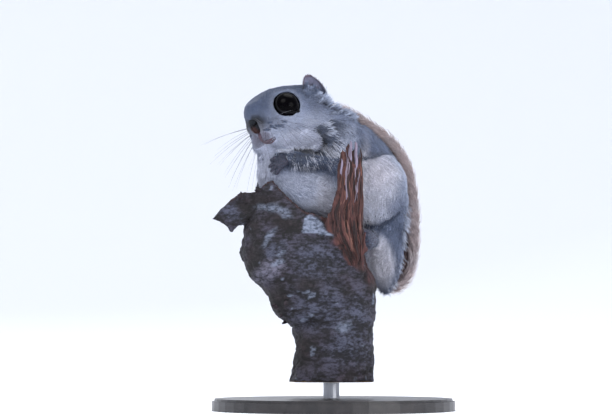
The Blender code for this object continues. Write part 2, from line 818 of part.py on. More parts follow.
def make_tail(name, first, last, draw):
    """One length of the tail: its core, and the long hair of its two edges as overlapping locks."""
    margin = 0.5 * GAP / TAIL_LENGTH
    pieces = [tail_core(first + margin, last - margin)]
    for side in (1, -1):
        for share in np.linspace(first + 0.02, last - 0.05, TAIL_LOCKS_A_SIDE):
            grow = np.interp(share, (0.0, 0.25, 0.7, 1.0), (0.45, 0.95, 1.0, 0.8)) * draw.uniform(0.93, 1.07)
            reach = min(TAIL_LOCK_LENGTH * grow, (last - share + 0.09) * TAIL_LENGTH)
            width = TAIL_LOCK_WIDTH * (0.6 + 0.4 * grow)
            pieces.append(tail_lock(share, side, reach, width, math.radians(draw.uniform(34, 44))))
    return fuse(name, pieces)


# The branch stub and its stand

def wobble(turn, height, seed):
    """Uneven bark: a few waves round and up the stem."""
    return (
        math.sin(3 * turn + 0.11 * height + seed)
        + 0.7 * math.sin(5 * turn - 0.23 * height + 2.1 * seed)
        + 0.5 * math.sin(8 * turn + 0.37 * height + 0.7 * seed)
    )


def stem_top(x, y):
    """Height of the broken top: high at the left, sloping to the right, and lower behind the front rim."""
    front = np.interp(x, STEM_TOP_X, STEM_TOP_Z)
    return front - 0.16 * (y + 25.0)


def make_stem():
    made = bmesh.new()
    loops = []
    levels = np.unique(np.concatenate([np.linspace(CUT_HEIGHT, STEM_TOP_LEVEL, STEM_RINGS), STEM_LEVELS]))
    for level in levels:
        share = (level - CUT_HEIGHT) / (STEM_TOP_LEVEL - CUT_HEIGHT)
        left = np.interp(level, STEM_LEVELS, STEM_LEFT)
        right = np.interp(level, STEM_LEVELS, STEM_RIGHT)
        deep = np.interp(level, STEM_LEVELS, STEM_DEPTH)
        middle, half = (left + right) / 2, (right - left) / 2
        loop = []
        for step in range(STEM_SIDES):
            turn = 2 * math.pi * step / STEM_SIDES
            rough = 1.0 + 0.016 * wobble(turn, level, 1.3)
            spread = abs(math.cos(turn)) ** STEM_BOXINESS + abs(math.sin(turn)) ** STEM_BOXINESS
            boxy = spread ** (-1 / STEM_BOXINESS)
            x = middle + half * rough * boxy * math.cos(turn)
            y = STEM_Y + deep * rough * boxy * math.sin(turn)
            top = stem_top(x, y) + 1.1 * wobble(turn * 2, 10.0, 0.4)
            z = min(level, CUT_HEIGHT + (top - CUT_HEIGHT) * share**0.85) if share < 1 else top
            loop.append(made.verts.new((x, y, z)))
        loops.append(loop)
    outer = loops[-1]
    centre = np.mean([vert.co[:] for vert in outer], axis=0)
    for inward, drop in ((0.84, 0.3), (0.62, 0.8), (0.35, 0.4)):
        loop = []
        for vert in outer:
            point = np.array(vert.co[:])
            x, y = centre[:2] + (point[:2] - centre[:2]) * inward
            loop.append(made.verts.new((x, y, stem_top(x, y) - drop)))
        loops.append(loop)
    for one, two in zip(loops, loops[1:]):
        for step in range(STEM_SIDES):
            after = (step + 1) % STEM_SIDES
            made.faces.new((one[step], one[after], two[after], two[step]))
    made.faces.new(loops[0][::-1])
    low = stem_top(centre[0], centre[1])
    hub = made.verts.new((centre[0], centre[1], low))
    for step in range(STEM_SIDES):
        made.faces.new((loops[-1][step], loops[-1][(step + 1) % STEM_SIDES], hub))
    bmesh.ops.triangulate(made, faces=made.faces)
    return object_from("perch_branch", made)


def make_flake():
    """The torn flake that juts out at the left of the broken top."""
    made = bmesh.new()
    root = max(x for x, _ in FLAKE_OUTLINE)
    near = [made.verts.new((x, FLAKE_NEAR + FLAKE_TAPER * (root - x), z)) for x, z in FLAKE_OUTLINE]
    far = [made.verts.new((x, FLAKE_FAR - FLAKE_TAPER * (root - x), z + 0.8)) for x, z in FLAKE_OUTLINE]
    made.faces.new(near)
    made.faces.new(far[::-1])
    for step in range(len(near)):
        after = (step + 1) % len(near)
        made.faces.new((near[step], far[step], far[after], near[after]))
    bmesh.ops.triangulate(made, faces=made.faces)
    return object_from("flake", made)


def make_splinter():
    """The strip of torn wood that stands up in front of the body, with its ragged tines."""
    pieces = []
    levels = np.array([58.0, 66.0, 76.0, 86.0, 96.0, 106.0, 113.0, 118.5])
    lefts = np.array([6.5, 3.0, -2.0, -5.5, -1.5, 1.7, 1.6, 2.2])
    rights = np.array([10.0, 13.5, 14.5, 14.2, 13.8, 13.8, 13.6, 13.4])
    backs = SPLINTER_Y + np.interp(levels, (58, 76, 96), (14.0, 7.0, 0.0))
    centres = [((a + b) / 2, y, z) for a, b, y, z in zip(lefts, rights, backs, levels)]
    radii = [(b - a) / 2 * 1.06 for a, b in zip(lefts, rights)]
    body = tube("splinter", centres, radii, 10, flat_axis=(0, 1, 0), flatness=1.0)
    points = read_points(body.data)
    depth = points[:, 1] - np.interp(points[:, 2], levels, [c[1] for c in centres])
    reach = np.interp(points[:, 2], levels, radii)
    points[:, 1] += depth * (SPLINTER_HALF_DEPTH / reach - 1.0)
    write_points(body.data, points)
    pieces.append(body)
    for x, y, top, half in SPLINTER_TINES:
        low = 108.0
        stations = ((low, 1.0), (0.45 * low + 0.55 * top, 1.05), (0.15 * low + 0.85 * top, 0.72), (top, 0.16))
        centres = [(x + 0.3 * share, SPLINTER_Y + y, z) for share, (z, _) in enumerate(stations)]
        pieces.append(tube("tine", centres, [half * width for _, width in stations], 6))
    return pieces


def make_stand():
    made = bmesh.new()
    bmesh.ops.create_cone(
        made, cap_ends=True, segments=48, radius1=BASE_RADIUS, radius2=BASE_RADIUS, depth=BASE_THICKNESS
    )
    top_rim = [edge for edge in made.edges if all(vert.co.z > 0 for vert in edge.verts)]
    bmesh.ops.bevel(made, geom=top_rim, offset=1.2, segments=2, affect="EDGES")
    bmesh.ops.translate(made, verts=made.verts, vec=(0, 0, BASE_THICKNESS / 2))
    object_from("stand_base", made)
    low, high = BASE_THICKNESS + GAP, CUT_HEIGHT - GAP
    made = bmesh.new()
    bmesh.ops.create_cone(
        made, cap_ends=True, segments=32, radius1=ROD_RADIUS, radius2=ROD_RADIUS, depth=high - low
    )
    bmesh.ops.translate(made, verts=made.verts, vec=(ROD_PLACE[0], ROD_PLACE[1], (low + high) / 2))
    object_from("stand_rod", made)


# Putting it together

def make_animal(perch):
    lumps = torso_lumps()
    sides = {side: side_lumps(side) for side in (1, -1)}
    for side in (1, -1):
        lumps += list(sides[side].values()) + [forearm(side)]
    lumps += head_lumps()
    flesh = make_flesh(lumps)
    cut_mouth(flesh, lambda points: flesh_field(points, lumps))
    cut_by(flesh, perch)
    words = {1: "left", -1: "right"}
    for side, word in words.items():
        add_lids(flesh, side)
        cut_by(flesh, make_eye("eye_" + word, side))
    nose = make_nose()
    cut_by(flesh, ball("socket", in_head(NOSE_PLACE), NOSE_RADII, HEAD_AXES, 3))
    remove(bpy.data.objects["socket"])
    for side, word in words.items():
        hand = cut_by(make_hand("hand_" + word, side), perch)
        cut_by(flesh, hand, WIDE_GAP)
        foot = cut_by(make_foot("foot_" + word, side), perch)
        cut_by(flesh, foot, WIDE_GAP)
    for side, word in words.items():
        ear = make_ear("ear_" + word, side)
        cut_by(ear, flesh)
    draw = np.random.default_rng(5)
    tails = []
    for name, (first, last) in TAIL_LENGTHS.items():
        tail = cut_by(make_tail(name, first, last, draw), flesh)
        for further in tails:
            cut_by(tail, further)
        tails.append(tail)
    carve(flesh, "head", [HEAD_CUT], 4)
    for side, word in words.items():
        arm = [sides[side]["upper_arm"], forearm(side)]
        carve(flesh, "arm_" + word, arm)
        for limb_name in ("membrane", "shank", "thigh"):
            carve(flesh, limb_name + "_" + word, [sides[side][limb_name]])
    carve(flesh, "neck", [NECK_CUT], 4)
    for name, triangles in TRIANGLES.items():
        slim(bpy.data.objects[name], triangles)


def make_perch():
    return fuse("perch_branch", [make_stem(), make_flake()] + make_splinter())


def make_material(name, colour, roughness):
    material = bpy.data.materials.new(name)
    material.use_nodes = True
    shader = material.node_tree.nodes["Principled BSDF"]
    shader.inputs["Base Color"].default_value = (*colour, 1.0)
    shader.inputs["Roughness"].default_value = roughness
    return material


def finish_meshes():
    """Gives each mesh its material, smooth shading with sharp creases, and its size in metres."""
    for obj in bpy.context.scene.objects:
        colour, roughness = next(look for start, look in LOOKS.items() if obj.name.startswith(start))
        obj.data.materials.clear()
        obj.data.materials.append(make_material(obj.name, colour, roughness))
        obj.data.transform(Matrix.Scale(MM_TO_M, 4))
        obj.data.shade_smooth()
        obj.data.set_sharp_from_angle(angle=CREASE_ANGLE)


clear_scene()
perch_branch = make_perch()
make_animal(perch_branch)
make_stand()
finish_meshes()
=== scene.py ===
import math

import bmesh
import bpy
import numpy as np
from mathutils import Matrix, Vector
from mathutils.bvhtree import BVHTree


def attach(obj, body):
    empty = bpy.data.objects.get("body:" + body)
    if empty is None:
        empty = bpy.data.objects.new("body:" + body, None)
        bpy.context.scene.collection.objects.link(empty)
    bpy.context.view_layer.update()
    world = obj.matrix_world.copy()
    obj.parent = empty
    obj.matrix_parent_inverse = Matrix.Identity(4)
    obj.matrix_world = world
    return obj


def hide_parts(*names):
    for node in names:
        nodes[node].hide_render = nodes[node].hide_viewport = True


# Looks for the flying squirrel. Shapes are worked out in millimetres and written in metres.
# Body and head have frames of their own: forward, left, up.
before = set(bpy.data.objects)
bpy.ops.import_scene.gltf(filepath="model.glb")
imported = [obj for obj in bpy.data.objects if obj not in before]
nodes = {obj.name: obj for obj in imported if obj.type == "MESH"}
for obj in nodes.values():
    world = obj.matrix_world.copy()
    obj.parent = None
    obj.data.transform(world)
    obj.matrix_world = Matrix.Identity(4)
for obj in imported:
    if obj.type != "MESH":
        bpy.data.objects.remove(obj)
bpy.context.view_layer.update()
millimetre = 0.001
pose = {
    "bodyYaw": 20.0,
    "headYaw": 36.0,
    "headPitch": -14.0,
    "headRoll": 7.0,
    "headCentre": (-20.0, -7.5, 146.5),
}
view = {"aim": (-13.5, 0.0, 101.0), "distance": 800.0, "rise": -5.5, "width": 306.0}


def turnedAxes(yaw, pitch=0.0, roll=0.0):
    # rows are forward, left and up of a frame that faces -X before it is turned, angles in degrees
    yaw, pitch, roll = math.radians(yaw), math.radians(pitch), math.radians(roll)
    level = -math.cos(pitch)
    forward = np.array([math.cos(yaw) * level, math.sin(yaw) * level, math.sin(pitch)])
    levelLeft = np.array([math.sin(yaw), -math.cos(yaw), 0.0])
    levelUp = np.cross(forward, levelLeft)
    left = levelLeft * math.cos(roll) + levelUp * math.sin(roll)
    return np.array([forward, left, np.cross(forward, left)])


bodyAxes = turnedAxes(pose["bodyYaw"])
headAxes = turnedAxes(pose["headYaw"], pose["headPitch"], pose["headRoll"])
headCentre = np.array(pose["headCentre"])
viewBack = np.array([0.0, -math.cos(math.radians(view["rise"])), math.sin(math.radians(view["rise"]))])
viewPlace = np.array(view["aim"]) + viewBack * view["distance"]


def inBody(place):
    # forward, left and up of the body, each times its direction, added
    return np.asarray(place, float) @ bodyAxes


def inHead(place):
    # the head's centre plus forward, left and up of the head, each times its direction
    return headCentre + np.asarray(place, float) @ headAxes


def headFrame(places):
    # places as forward, left and up in the head's own frame
    return (places - headCentre) @ headAxes.T


def unit(vectors):
    # each vector divided by its own length
    return vectors / np.maximum(np.linalg.norm(vectors, axis=-1, keepdims=True), 1e-9)


def across(vectors, normals):
    # the part of each vector that lies in the surface
    return vectors - normals * np.einsum("ij,ij->i", vectors, normals)[:, None]


def ramp(values, low, high):
    # 0 below low, 1 above high, smooth in between
    share = np.clip((values - low) / (high - low), 0.0, 1.0)
    return share * share * (3 - 2 * share)


def blended(first, second, share):
    # first plus share times the difference to second
    return first + (second - first) * share


def bell(away, width):
    # exp of minus the squared distance over the squared width
    return np.exp(-((away / width) ** 2))


def linear(*colour):
    # screen colour from 0 to 255, turned into light
    share = np.array(colour, float) / 255.0
    return np.where(share < 0.04045, share / 12.92, ((share + 0.055) / 1.055) ** 2.4)


# whole numbers that mix the corner's place and the seed into an even spread
lattice = {
    "steps": np.array([73856093, 19349663, 83492791]),
    "seedStep": 40503,
    "stir": 1274126177,
    "range": 0xFFFF,
}


def valueNoise(points, size, seed):
    # a random number at each corner of a lattice, blended smoothly in between, from -1 to 1
    scaled = points / np.asarray(size, float)
    cell = np.floor(scaled).astype(np.int64)
    share = scaled - cell
    share = share * share * (3 - 2 * share)
    total = 0.0
    for corner in range(8):
        offset = np.array([corner & 1, corner >> 1 & 1, corner >> 2 & 1])
        key = (cell + offset) @ lattice["steps"] + seed * lattice["seedStep"]
        key = (key ^ (key >> 13)) * lattice["stir"]
        key = (key ^ (key >> 15)) & lattice["range"]
        weight = np.prod(np.where(offset == 1, share, 1 - share), axis=-1)
        total = total + weight * (key / (lattice["range"] / 2) - 1)
    return total


def noiseVectors(points, size, seeds):
    # one noise for each seed, side by side
    return np.stack([valueNoise(points, size, seed) for seed in seeds], 1)


def layeredNoise(points, size, seed, layers=3):
    # sum of noises, each half the size and half the strength of the last
    size = np.asarray(size, float)
    return sum(valueNoise(points, size / 2**layer, seed + layer) / 2**layer for layer in range(layers))


# Meshes from arrays

def placed(name, data):
    # an object in the scene that shows this data
    made = bpy.data.objects.new(name, data)
    bpy.context.scene.collection.objects.link(made)
    return made


def meshObject(name, points, *faceSets):
    # faceSets are arrays of triangles or quads
    mesh = bpy.data.meshes.new(name)
    corners = np.concatenate([faces.ravel() for faces in faceSets])
    sizes = np.concatenate([np.full(len(faces), faces.shape[1]) for faces in faceSets])
    starts = np.concatenate([[0], np.cumsum(sizes)[:-1]])
    mesh.vertices.add(len(points))
    mesh.loops.add(len(corners))
    mesh.polygons.add(len(sizes))
    mesh.vertices.foreach_set("co", (np.asarray(points) * millimetre).astype(np.float32).ravel())
    mesh.loops.foreach_set("vertex_index", corners.astype(np.int32))
    mesh.polygons.foreach_set("loop_start", starts.astype(np.int32))
    mesh.update(calc_edges=True)
    mesh.shade_smooth()
    return placed(name, mesh)


def paintWith(piece, material):
    # the material takes the place of whatever the mesh had
    piece.data.materials.clear()
    piece.data.materials.append(material)


def finishPiece(piece, material, slot, *replaced):
    # what every piece of the object needs
    paintWith(piece, material)
    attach(piece, "root")
    if replaced:
        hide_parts(*replaced)
    return piece


def setColours(mesh, name, colours):
    # one colour for each vertex
    attribute = mesh.attributes.new(name, "FLOAT_COLOR", "POINT")
    solid = np.ones((len(colours), 4), np.float32)
    solid[:, :3] = colours
    attribute.data.foreach_set("color", solid.ravel())


def setValues(mesh, name, values):
    # one number for each vertex
    attribute = mesh.attributes.new(name, "FLOAT", "POINT")
    attribute.data.foreach_set("value", values.astype(np.float32))


def rowsOf(collection, field, width, kind=np.float32):
    # one row of numbers for each item of a mesh
    values = np.empty(len(collection) * width, kind)
    collection.foreach_get(field, values)
    return values.reshape(-1, width)


def bakeRows(mesh):
    # bake coordinates of every face corner
    return rowsOf(mesh.uv_layers["OFBake"].uv, "vector", 2).astype(float)


def meshPoints(mesh):
    # the mesh's places in metres, divided into millimetres
    return rowsOf(mesh.vertices, "co", 3).astype(float) / millimetre


def movePoints(mesh, points):
    # places in millimetres, written in metres
    mesh.vertices.foreach_set("co", (points * millimetre).astype(np.float32).ravel())
    mesh.update()


def meshNormals(mesh):
    return rowsOf(mesh.vertex_normals, "vector", 3).astype(float)


def meshEdges(mesh):
    return rowsOf(mesh.edges, "vertices", 2, np.int32)


def faired(values, edges, rounds, pull=0.5):
    # each round moves every value towards the mean of its neighbours
    count = np.maximum(np.bincount(edges.ravel(), minlength=len(values)), 1)
    for _ in range(rounds):
        total = np.zeros_like(values)
        for column in range(values.shape[1]):
            total[:, column] = np.bincount(edges[:, 0], values[edges[:, 1], column], len(values))
            total[:, column] += np.bincount(edges[:, 1], values[edges[:, 0], column], len(values))
        values = values + pull * (total / count[:, None] - values)
    return values


def remeshed(name, sources, voxel, grownBy=0.0):
    # CAD nodes merged from loose triangles, pushed out a little, and made one closed skin of even quads
    made = bmesh.new()
    for source in sources:
        made.from_mesh(nodes[source].data)
    bmesh.ops.remove_doubles(made, verts=made.verts, dist=1e-6)
    mesh = bpy.data.meshes.new(name)
    made.to_mesh(mesh)
    made.free()
    movePoints(mesh, meshPoints(mesh) + meshNormals(mesh) * grownBy)
    rough = placed(name, mesh)
    skinning = rough.modifiers.new("skin", "REMESH")
    skinning.mode = "VOXEL"
    skinning.voxel_size = voxel * millimetre
    result = bpy.data.meshes.new_from_object(rough.evaluated_get(bpy.context.evaluated_depsgraph_get()))
    bpy.data.objects.remove(rough)
    result.name = name
    result.shade_smooth()
    return placed(name, result)


def unwrapped(piece):
    # bake map over the piece's own shape
    bpy.context.view_layer.objects.active = piece
    piece.select_set(True)
    bpy.ops.object.mode_set(mode="EDIT")
    bpy.ops.mesh.select_all(action="SELECT")
    bpy.ops.uv.smart_project(angle_limit=math.radians(66), island_margin=0.004)
    bpy.ops.object.mode_set(mode="OBJECT")
    piece.select_set(False)
    piece.data.uv_layers[0].name = "OFBake"
    return piece


def ringSteps(rows, columns):
    # number of each corner of stacked rings, and of the next corner round its ring
    row, column = np.meshgrid(np.arange(rows), np.arange(columns), indexing="ij")
    return (row * columns + column).ravel(), (row * columns + (column + 1) % columns).ravel()


def facedOut(points, faces):
    # the faces of a closed surface, turned round if the volume inside them comes out negative
    first, *others = (points[faces[:, corner]] - points.mean(axis=0) for corner in range(faces.shape[1]))
    volume = sum(np.einsum("ij,ij->i", first, np.cross(*pair)).sum() for pair in zip(others, others[1:]))
    return faces[:, ::-1] if volume < 0 else faces


def loopSurface(loops, firstPole, lastPole):
    # closed skin over rows of loops, an array of rows by columns, each end run to its pole
    rows, columns = loops.shape[:2]
    points = np.concatenate([loops.reshape(-1, 3), [firstPole, lastPole]])
    here, beside = ringSteps(rows - 1, columns)
    step, after = ringSteps(1, columns)
    last = (rows - 1) * columns
    triangles = np.concatenate([
        np.stack([here, beside, beside + columns], 1),
        np.stack([here, beside + columns, here + columns], 1),
        np.stack([after, step, np.full(columns, rows * columns)], 1),
        np.stack([last + step, last + after, np.full(columns, rows * columns + 1)], 1),
    ])
    return points, facedOut(points, triangles)


def joinShells(shells):
    # the points end to end, each shell's triangles raised by the number of points before it
    starts = np.cumsum([0] + [len(points) for points, _ in shells])
    points = np.concatenate([points for points, _ in shells])
    triangles = np.concatenate([triangles + start for (_, triangles), start in zip(shells, starts)])
    return points, triangles


tubeHint = np.array([0.13, 0.21, 0.97])
tubePole = 0.4


def pathTube(path, radii, sides, flat=tubeHint, flatness=1.0):
    # rings of the given radii round a path, squeezed along the flat direction, with a pole at each end
    path, radii = np.asarray(path, float), np.asarray(radii, float)
    ways = unit(np.gradient(path, axis=0))
    thin = unit(np.asarray(flat, float) - ways * (ways @ np.asarray(flat, float))[:, None])
    wide = np.cross(ways, thin)
    turns = 2 * np.pi * np.arange(sides) / sides
    over, up = np.cos(turns)[None, :, None], np.sin(turns)[None, :, None]
    loops = path[:, None] + radii[:, None, None] * (over * wide[:, None] + flatness * up * thin[:, None])
    ends = path[[0, -1]] + ways[[0, -1]] * (radii[[0, -1]] * (-tubePole, tubePole))[:, None]
    return loopSurface(loops, *ends)


def ballShell(centre, radii, axes, rows=24, columns=36):
    # latitude and longitude grid over an oval
    polar = np.pi * (np.arange(rows) + 1) / (rows + 1)
    turns = 2 * np.pi * np.arange(columns) / columns
    loops = np.stack([
        np.broadcast_to(np.cos(polar)[:, None], (rows, columns)),
        np.sin(polar)[:, None] * np.cos(turns),
        np.sin(polar)[:, None] * np.sin(turns),
    ], -1)
    radii = np.asarray(radii, float)
    poles = np.array([[1.0, 0, 0], [-1.0, 0, 0]]) * radii @ axes + centre
    return loopSurface(loops * radii @ axes + centre, *poles)


def smoothPath(points, count):
    # Catmull-Rom line through the points
    points = np.asarray(points, float)
    padded = np.concatenate([[2 * points[0] - points[1]], points, [2 * points[-1] - points[-2]]])
    at = np.linspace(0, len(points) - 1, count)
    index = np.minimum(at.astype(int), len(points) - 2)
    share = (at - index)[:, None]
    a, b, c, d = (padded[index + offset] for offset in range(4))
    bend, twist = 2 * a - 5 * b + 4 * c - d, 3 * b - a - 3 * c + d
    return 0.5 * (2 * b + (c - a) * share + bend * share**2 + twist * share**3)


def treeOf(mesh):
    return BVHTree.FromPolygons([v.co for v in mesh.vertices], [p.vertices for p in mesh.polygons])


def castFrom(tree, start, way):
    # where a line meets the surface, and the surface's direction there
    hit, normal = tree.ray_cast(Vector(np.asarray(start) * millimetre), Vector(way).normalized())[:2]
    return (None, None) if hit is None else (np.array(hit) / millimetre, np.array(normal))


def depthsOf(hits):
    # how far back each hit is, or no number where there is none
    return np.array([np.nan if hit is None else hit[1] for hit in hits])


def nearestOn(tree, point):
    # the surface's nearest place and its direction there
    hit, normal = tree.find_nearest(Vector(np.asarray(point) * millimetre))[:2]
    return np.array(hit) / millimetre, np.array(normal)


# Materials

class Value:
    # a socket inside a material: Python's operators on it add Math nodes
    def __init__(self, tree, socket=None):
        self.tree = tree
        self.socket = socket

    def node(self, kind, sockets, output=0, **settings):
        # any node: its settings come first, then the values or links of its sockets
        made = self.tree.nodes.new("ShaderNode" + kind)
        for name, setting in settings.items():
            setattr(made, name, setting)
        for key, given in sockets.items():
            if isinstance(given, Value):
                self.tree.links.new(given.socket, made.inputs[key])
            else:
                made.inputs[key].default_value = given
        return Value(self.tree, made.outputs[output])

    def maths(self, operation, *given):
        return self.node("Math", dict(enumerate(given)), operation=operation)

    def __add__(self, other):
        return self.maths("ADD", self, other)

    def __radd__(self, other):
        return self.maths("ADD", other, self)

    def __sub__(self, other):
        return self.maths("SUBTRACT", self, other)

    def __rsub__(self, other):
        return self.maths("SUBTRACT", other, self)

    def __mul__(self, other):
        return self.maths("MULTIPLY", self, other)

    def __rmul__(self, other):
        return self.maths("MULTIPLY", other, self)

    def within(self, low, high):
        # 0 at low, 1 at high, smooth in between
        sockets = {"Value": self, "From Min": low, "From Max": high}
        return self.node("MapRange", sockets, interpolation_type="SMOOTHSTEP")


class Paint:
    # one material with its Principled shader
    def __init__(self, name):
        self.material = bpy.data.materials.new(name)
        self.material.use_nodes = True
        self.tree = self.material.node_tree
        self.shader = self.tree.nodes["Principled BSDF"]
        self.make = Value(self.tree)
        self.place = self.make.node("TexCoord", {}, output="Object")

    def attribute(self, name, output="Color"):
        return self.make.node("Attribute", {}, output=output, attribute_name=name)

    def value(self, name):
        # the number that setValues wrote for each vertex
        return self.attribute(name, "Fac")

    def stretched(self, x, y, z):
        # the object's coordinates, scaled along each axis
        return self.make.node("Mapping", {"Vector": self.place, "Scale": (x, y, z)})

    def noise(self, scale, detail=3.0, roughness=0.55, place=None):
        sockets = {"Vector": place or self.place, "Scale": scale, "Detail": detail, "Roughness": roughness}
        return self.make.node("TexNoise", sockets)

    def mix(self, share, first, second, blend="MIX"):
        # first blended towards second by share, each a colour or another node
        first, second = ((*c, 1.0) if isinstance(c, np.ndarray) else c for c in (first, second))
        sockets = {0: share, 6: first, 7: second}
        return self.make.node("Mix", sockets, output=2, data_type="RGBA", blend_type=blend)

    def shades(self, share, first, second):
        # a mix of two screen colours
        return self.mix(share, linear(*first), linear(*second))

    def finish(self, colour, roughness, bump=None, depth=0.0002, strength=0.5, **fixed):
        # links or sets the shader's sockets: bump in metres of depth, fixed sockets by name
        for name, given in (("Base Color", colour), ("Roughness", roughness)):
            if isinstance(given, Value):
                self.tree.links.new(given.socket, self.shader.inputs[name])
            else:
                self.shader.inputs[name].default_value = (*given, 1.0) if name == "Base Color" else given
        if bump is not None:
            raised = self.make.node("Bump", {"Height": bump, "Distance": depth, "Strength": strength})
            self.tree.links.new(raised.socket, self.shader.inputs["Normal"])
        for name, value in fixed.items():
            self.shader.inputs[name.replace("_", " ")].default_value = value
        return self.material


def coatMaterial(name, grain):
    # the colour that the markings give, with their painted light and shade, a little unevenness, matt and softly
    # sheened
    paint = Paint(name)
    fine = paint.noise(grain, 4.0)
    shade = paint.shades(fine.within(0.25, 0.75), (205, 205, 208), (255, 255, 255))
    colour = paint.mix(1.0, paint.attribute("coatColour"), shade, "MULTIPLY")
    rough = 0.62 + fine * 0.25
    return paint.finish(colour, rough, fine, 0.0003, 0.35, Specular_IOR_Level=0.25, Sheen_Weight=0.1)


# Coat: how long, deep, wide and dense it is at places on the head and the body
# each site: forward, left, up, hair length, coat depth, hair width, hairs per square millimetre
coatSites = {
    "head": (
        (24, 0, 4, 0.9, 0.25, 0.14, 9), (23, 7, -3, 1.1, 0.3, 0.15, 9), (18, 6, 6, 1.3, 0.35, 0.16, 8),
        (9, 4, 12, 1.9, 0.45, 0.2, 7), (4, 13, 8, 1.4, 0.35, 0.17, 8), (14, 12, -5, 1.7, 0.4, 0.17, 8),
        (8, 13, -2, 1.5, 0.35, 0.17, 8), (-5, 4, 14, 3.2, 1.0, 0.23, 5.5), (-8, 14, 3, 2.6, 0.6, 0.21, 5.5),
        (20, 4, -12, 1.8, 0.45, 0.18, 7), (5, 14, -9, 2.6, 0.6, 0.2, 6), (-7, 16, -10, 3.2, 0.7, 0.23, 5),
        (6, 0, -17, 5.0, 1.1, 0.26, 4), (-16, 6, 6, 5.6, 1.4, 0.26, 4.5), (-12, 7, 11, 4.6, 1.4, 0.25, 5),
    ),
    "body": (
        (-4, 6, 147, 6.0, 1.5, 0.28, 4), (-1, 22, 131, 6.0, 1.4, 0.28, 4.2), (38, 3, 122, 5.5, 1.6, 0.28, 4),
        (15, 20, 104, 4.4, 1.4, 0.25, 5), (-35, 6, 112, 6.5, 1.5, 0.3, 3.5), (-16, 20, 128, 7.0, 1.6, 0.3, 3.8),
        (-21, 25, 107, 3.3, 1.1, 0.2, 6.6), (-31, 8, 78, 6.0, 1.6, 0.28, 4), (2, 24, 119, 4.6, 0.9, 0.25, 4.5),
        (28, 17, 122, 2.2, 0.4, 0.2, 6.5), (-30, 20, 93, 4.0, 0.9, 0.24, 5), (-15, 22, 84, 2.6, 0.6, 0.2, 6),
        (20, 8, 95, 4.6, 1.4, 0.28, 3.4),
    ),
}
# lines along which the hair lies, from root to tip, mirrored to both sides
lieLines = {
    "head": (
        ((25, 2, 3), (12, 3, 12)), ((12, 3, 12), (-2, 4, 14)), ((-2, 4, 14), (-15, 5, 10)),
        ((24, 7, -2), (14, 12, -4)), ((14, 12, -4), (2, 15, -6)), ((2, 15, -6), (-12, 17, -10)),
        ((20, 6, -11), (8, 9, -14)), ((8, 9, -14), (-6, 12, -17)), ((4, 13, 6), (-8, 14, 4)),
        ((22, 0, -8), (16, 0, -20)),
    ),
    "body": (
        ((8, 8, 146), (-8, 9, 144)), ((-8, 9, 144), (-24, 9, 134)), ((-24, 9, 134), (-36, 9, 118)),
        ((-36, 9, 118), (-40, 9, 98)), ((-40, 9, 98), (-37, 8, 74)), ((-34, 5, 74), (-32, 3, 60)),
        ((4, 16, 140), (-4, 23, 126)), ((-4, 23, 126), (-12, 24, 116)), ((-8, 18, 138), (-22, 20, 124)),
        ((38, 4, 134), (38, 4, 112)), ((38, 4, 112), (26, 4, 98)), ((30, 14, 128), (26, 15, 112)),
        ((28, 15, 112), (8, 20, 104)), ((8, 20, 104), (-6, 22, 98)), ((-14, 24, 120), (-17, 27, 106)),
        ((-17, 27, 106), (-16, 24, 94)), ((-29, 18, 106), (-31, 19, 94)), ((-29, 18, 94), (-14, 20, 82)),
        ((2, 24, 120), (12, 22, 114)), ((26, 17, 125), (12, 20, 118)), ((14, 20, 124), (2, 22, 112)),
    ),
}


def bothSides(places):
    # the rows as they are, then again with left turned into right
    places = np.asarray(places, float)
    mirrored = places.copy()
    mirrored[..., 1] *= -1
    return np.concatenate([places, mirrored])


def bothParts(tables):
    # the rows of the head's and the body's tables on both sides, turned into the stand's frame
    rows = []
    for part, turn in (("head", inHead), ("body", inBody)):
        table = bothSides(tables[part])
        table[..., :3] = turn(table[..., :3])
        rows.append(table)
    return np.concatenate(rows)


siteRows = bothParts(coatSites)
lineStarts, lineEnds = np.moveaxis(bothParts(lieLines), 1, 0)


# the larger these are, the softer the blend from one site or line to the next
blendOver = {"sites": 20.0, "lines": 2.0}


def coatAt(points):
    # hair length, coat depth, hair width and density, blended from the nearest sites
    away = np.linalg.norm(points[:, None] - siteRows[:, :3], axis=2)
    weight = 1 / (away**4 + blendOver["sites"])
    return ((weight @ siteRows[:, 3:]) / weight.sum(axis=1)[:, None]).T


def lieAt(points):
    # the way that hair lies: directions of the nearest lines, blended by distance
    along = lineEnds - lineStarts
    reach = np.einsum("ij,ij->i", along, along)
    share = np.clip(((points @ along.T) - np.einsum("ij,ij->i", lineStarts, along)) / reach, 0, 1)
    away = np.linalg.norm(points[:, None] - lineStarts - share[..., None] * along, axis=2)
    return (1 / (away**3 + blendOver["lines"])) @ unit(along)
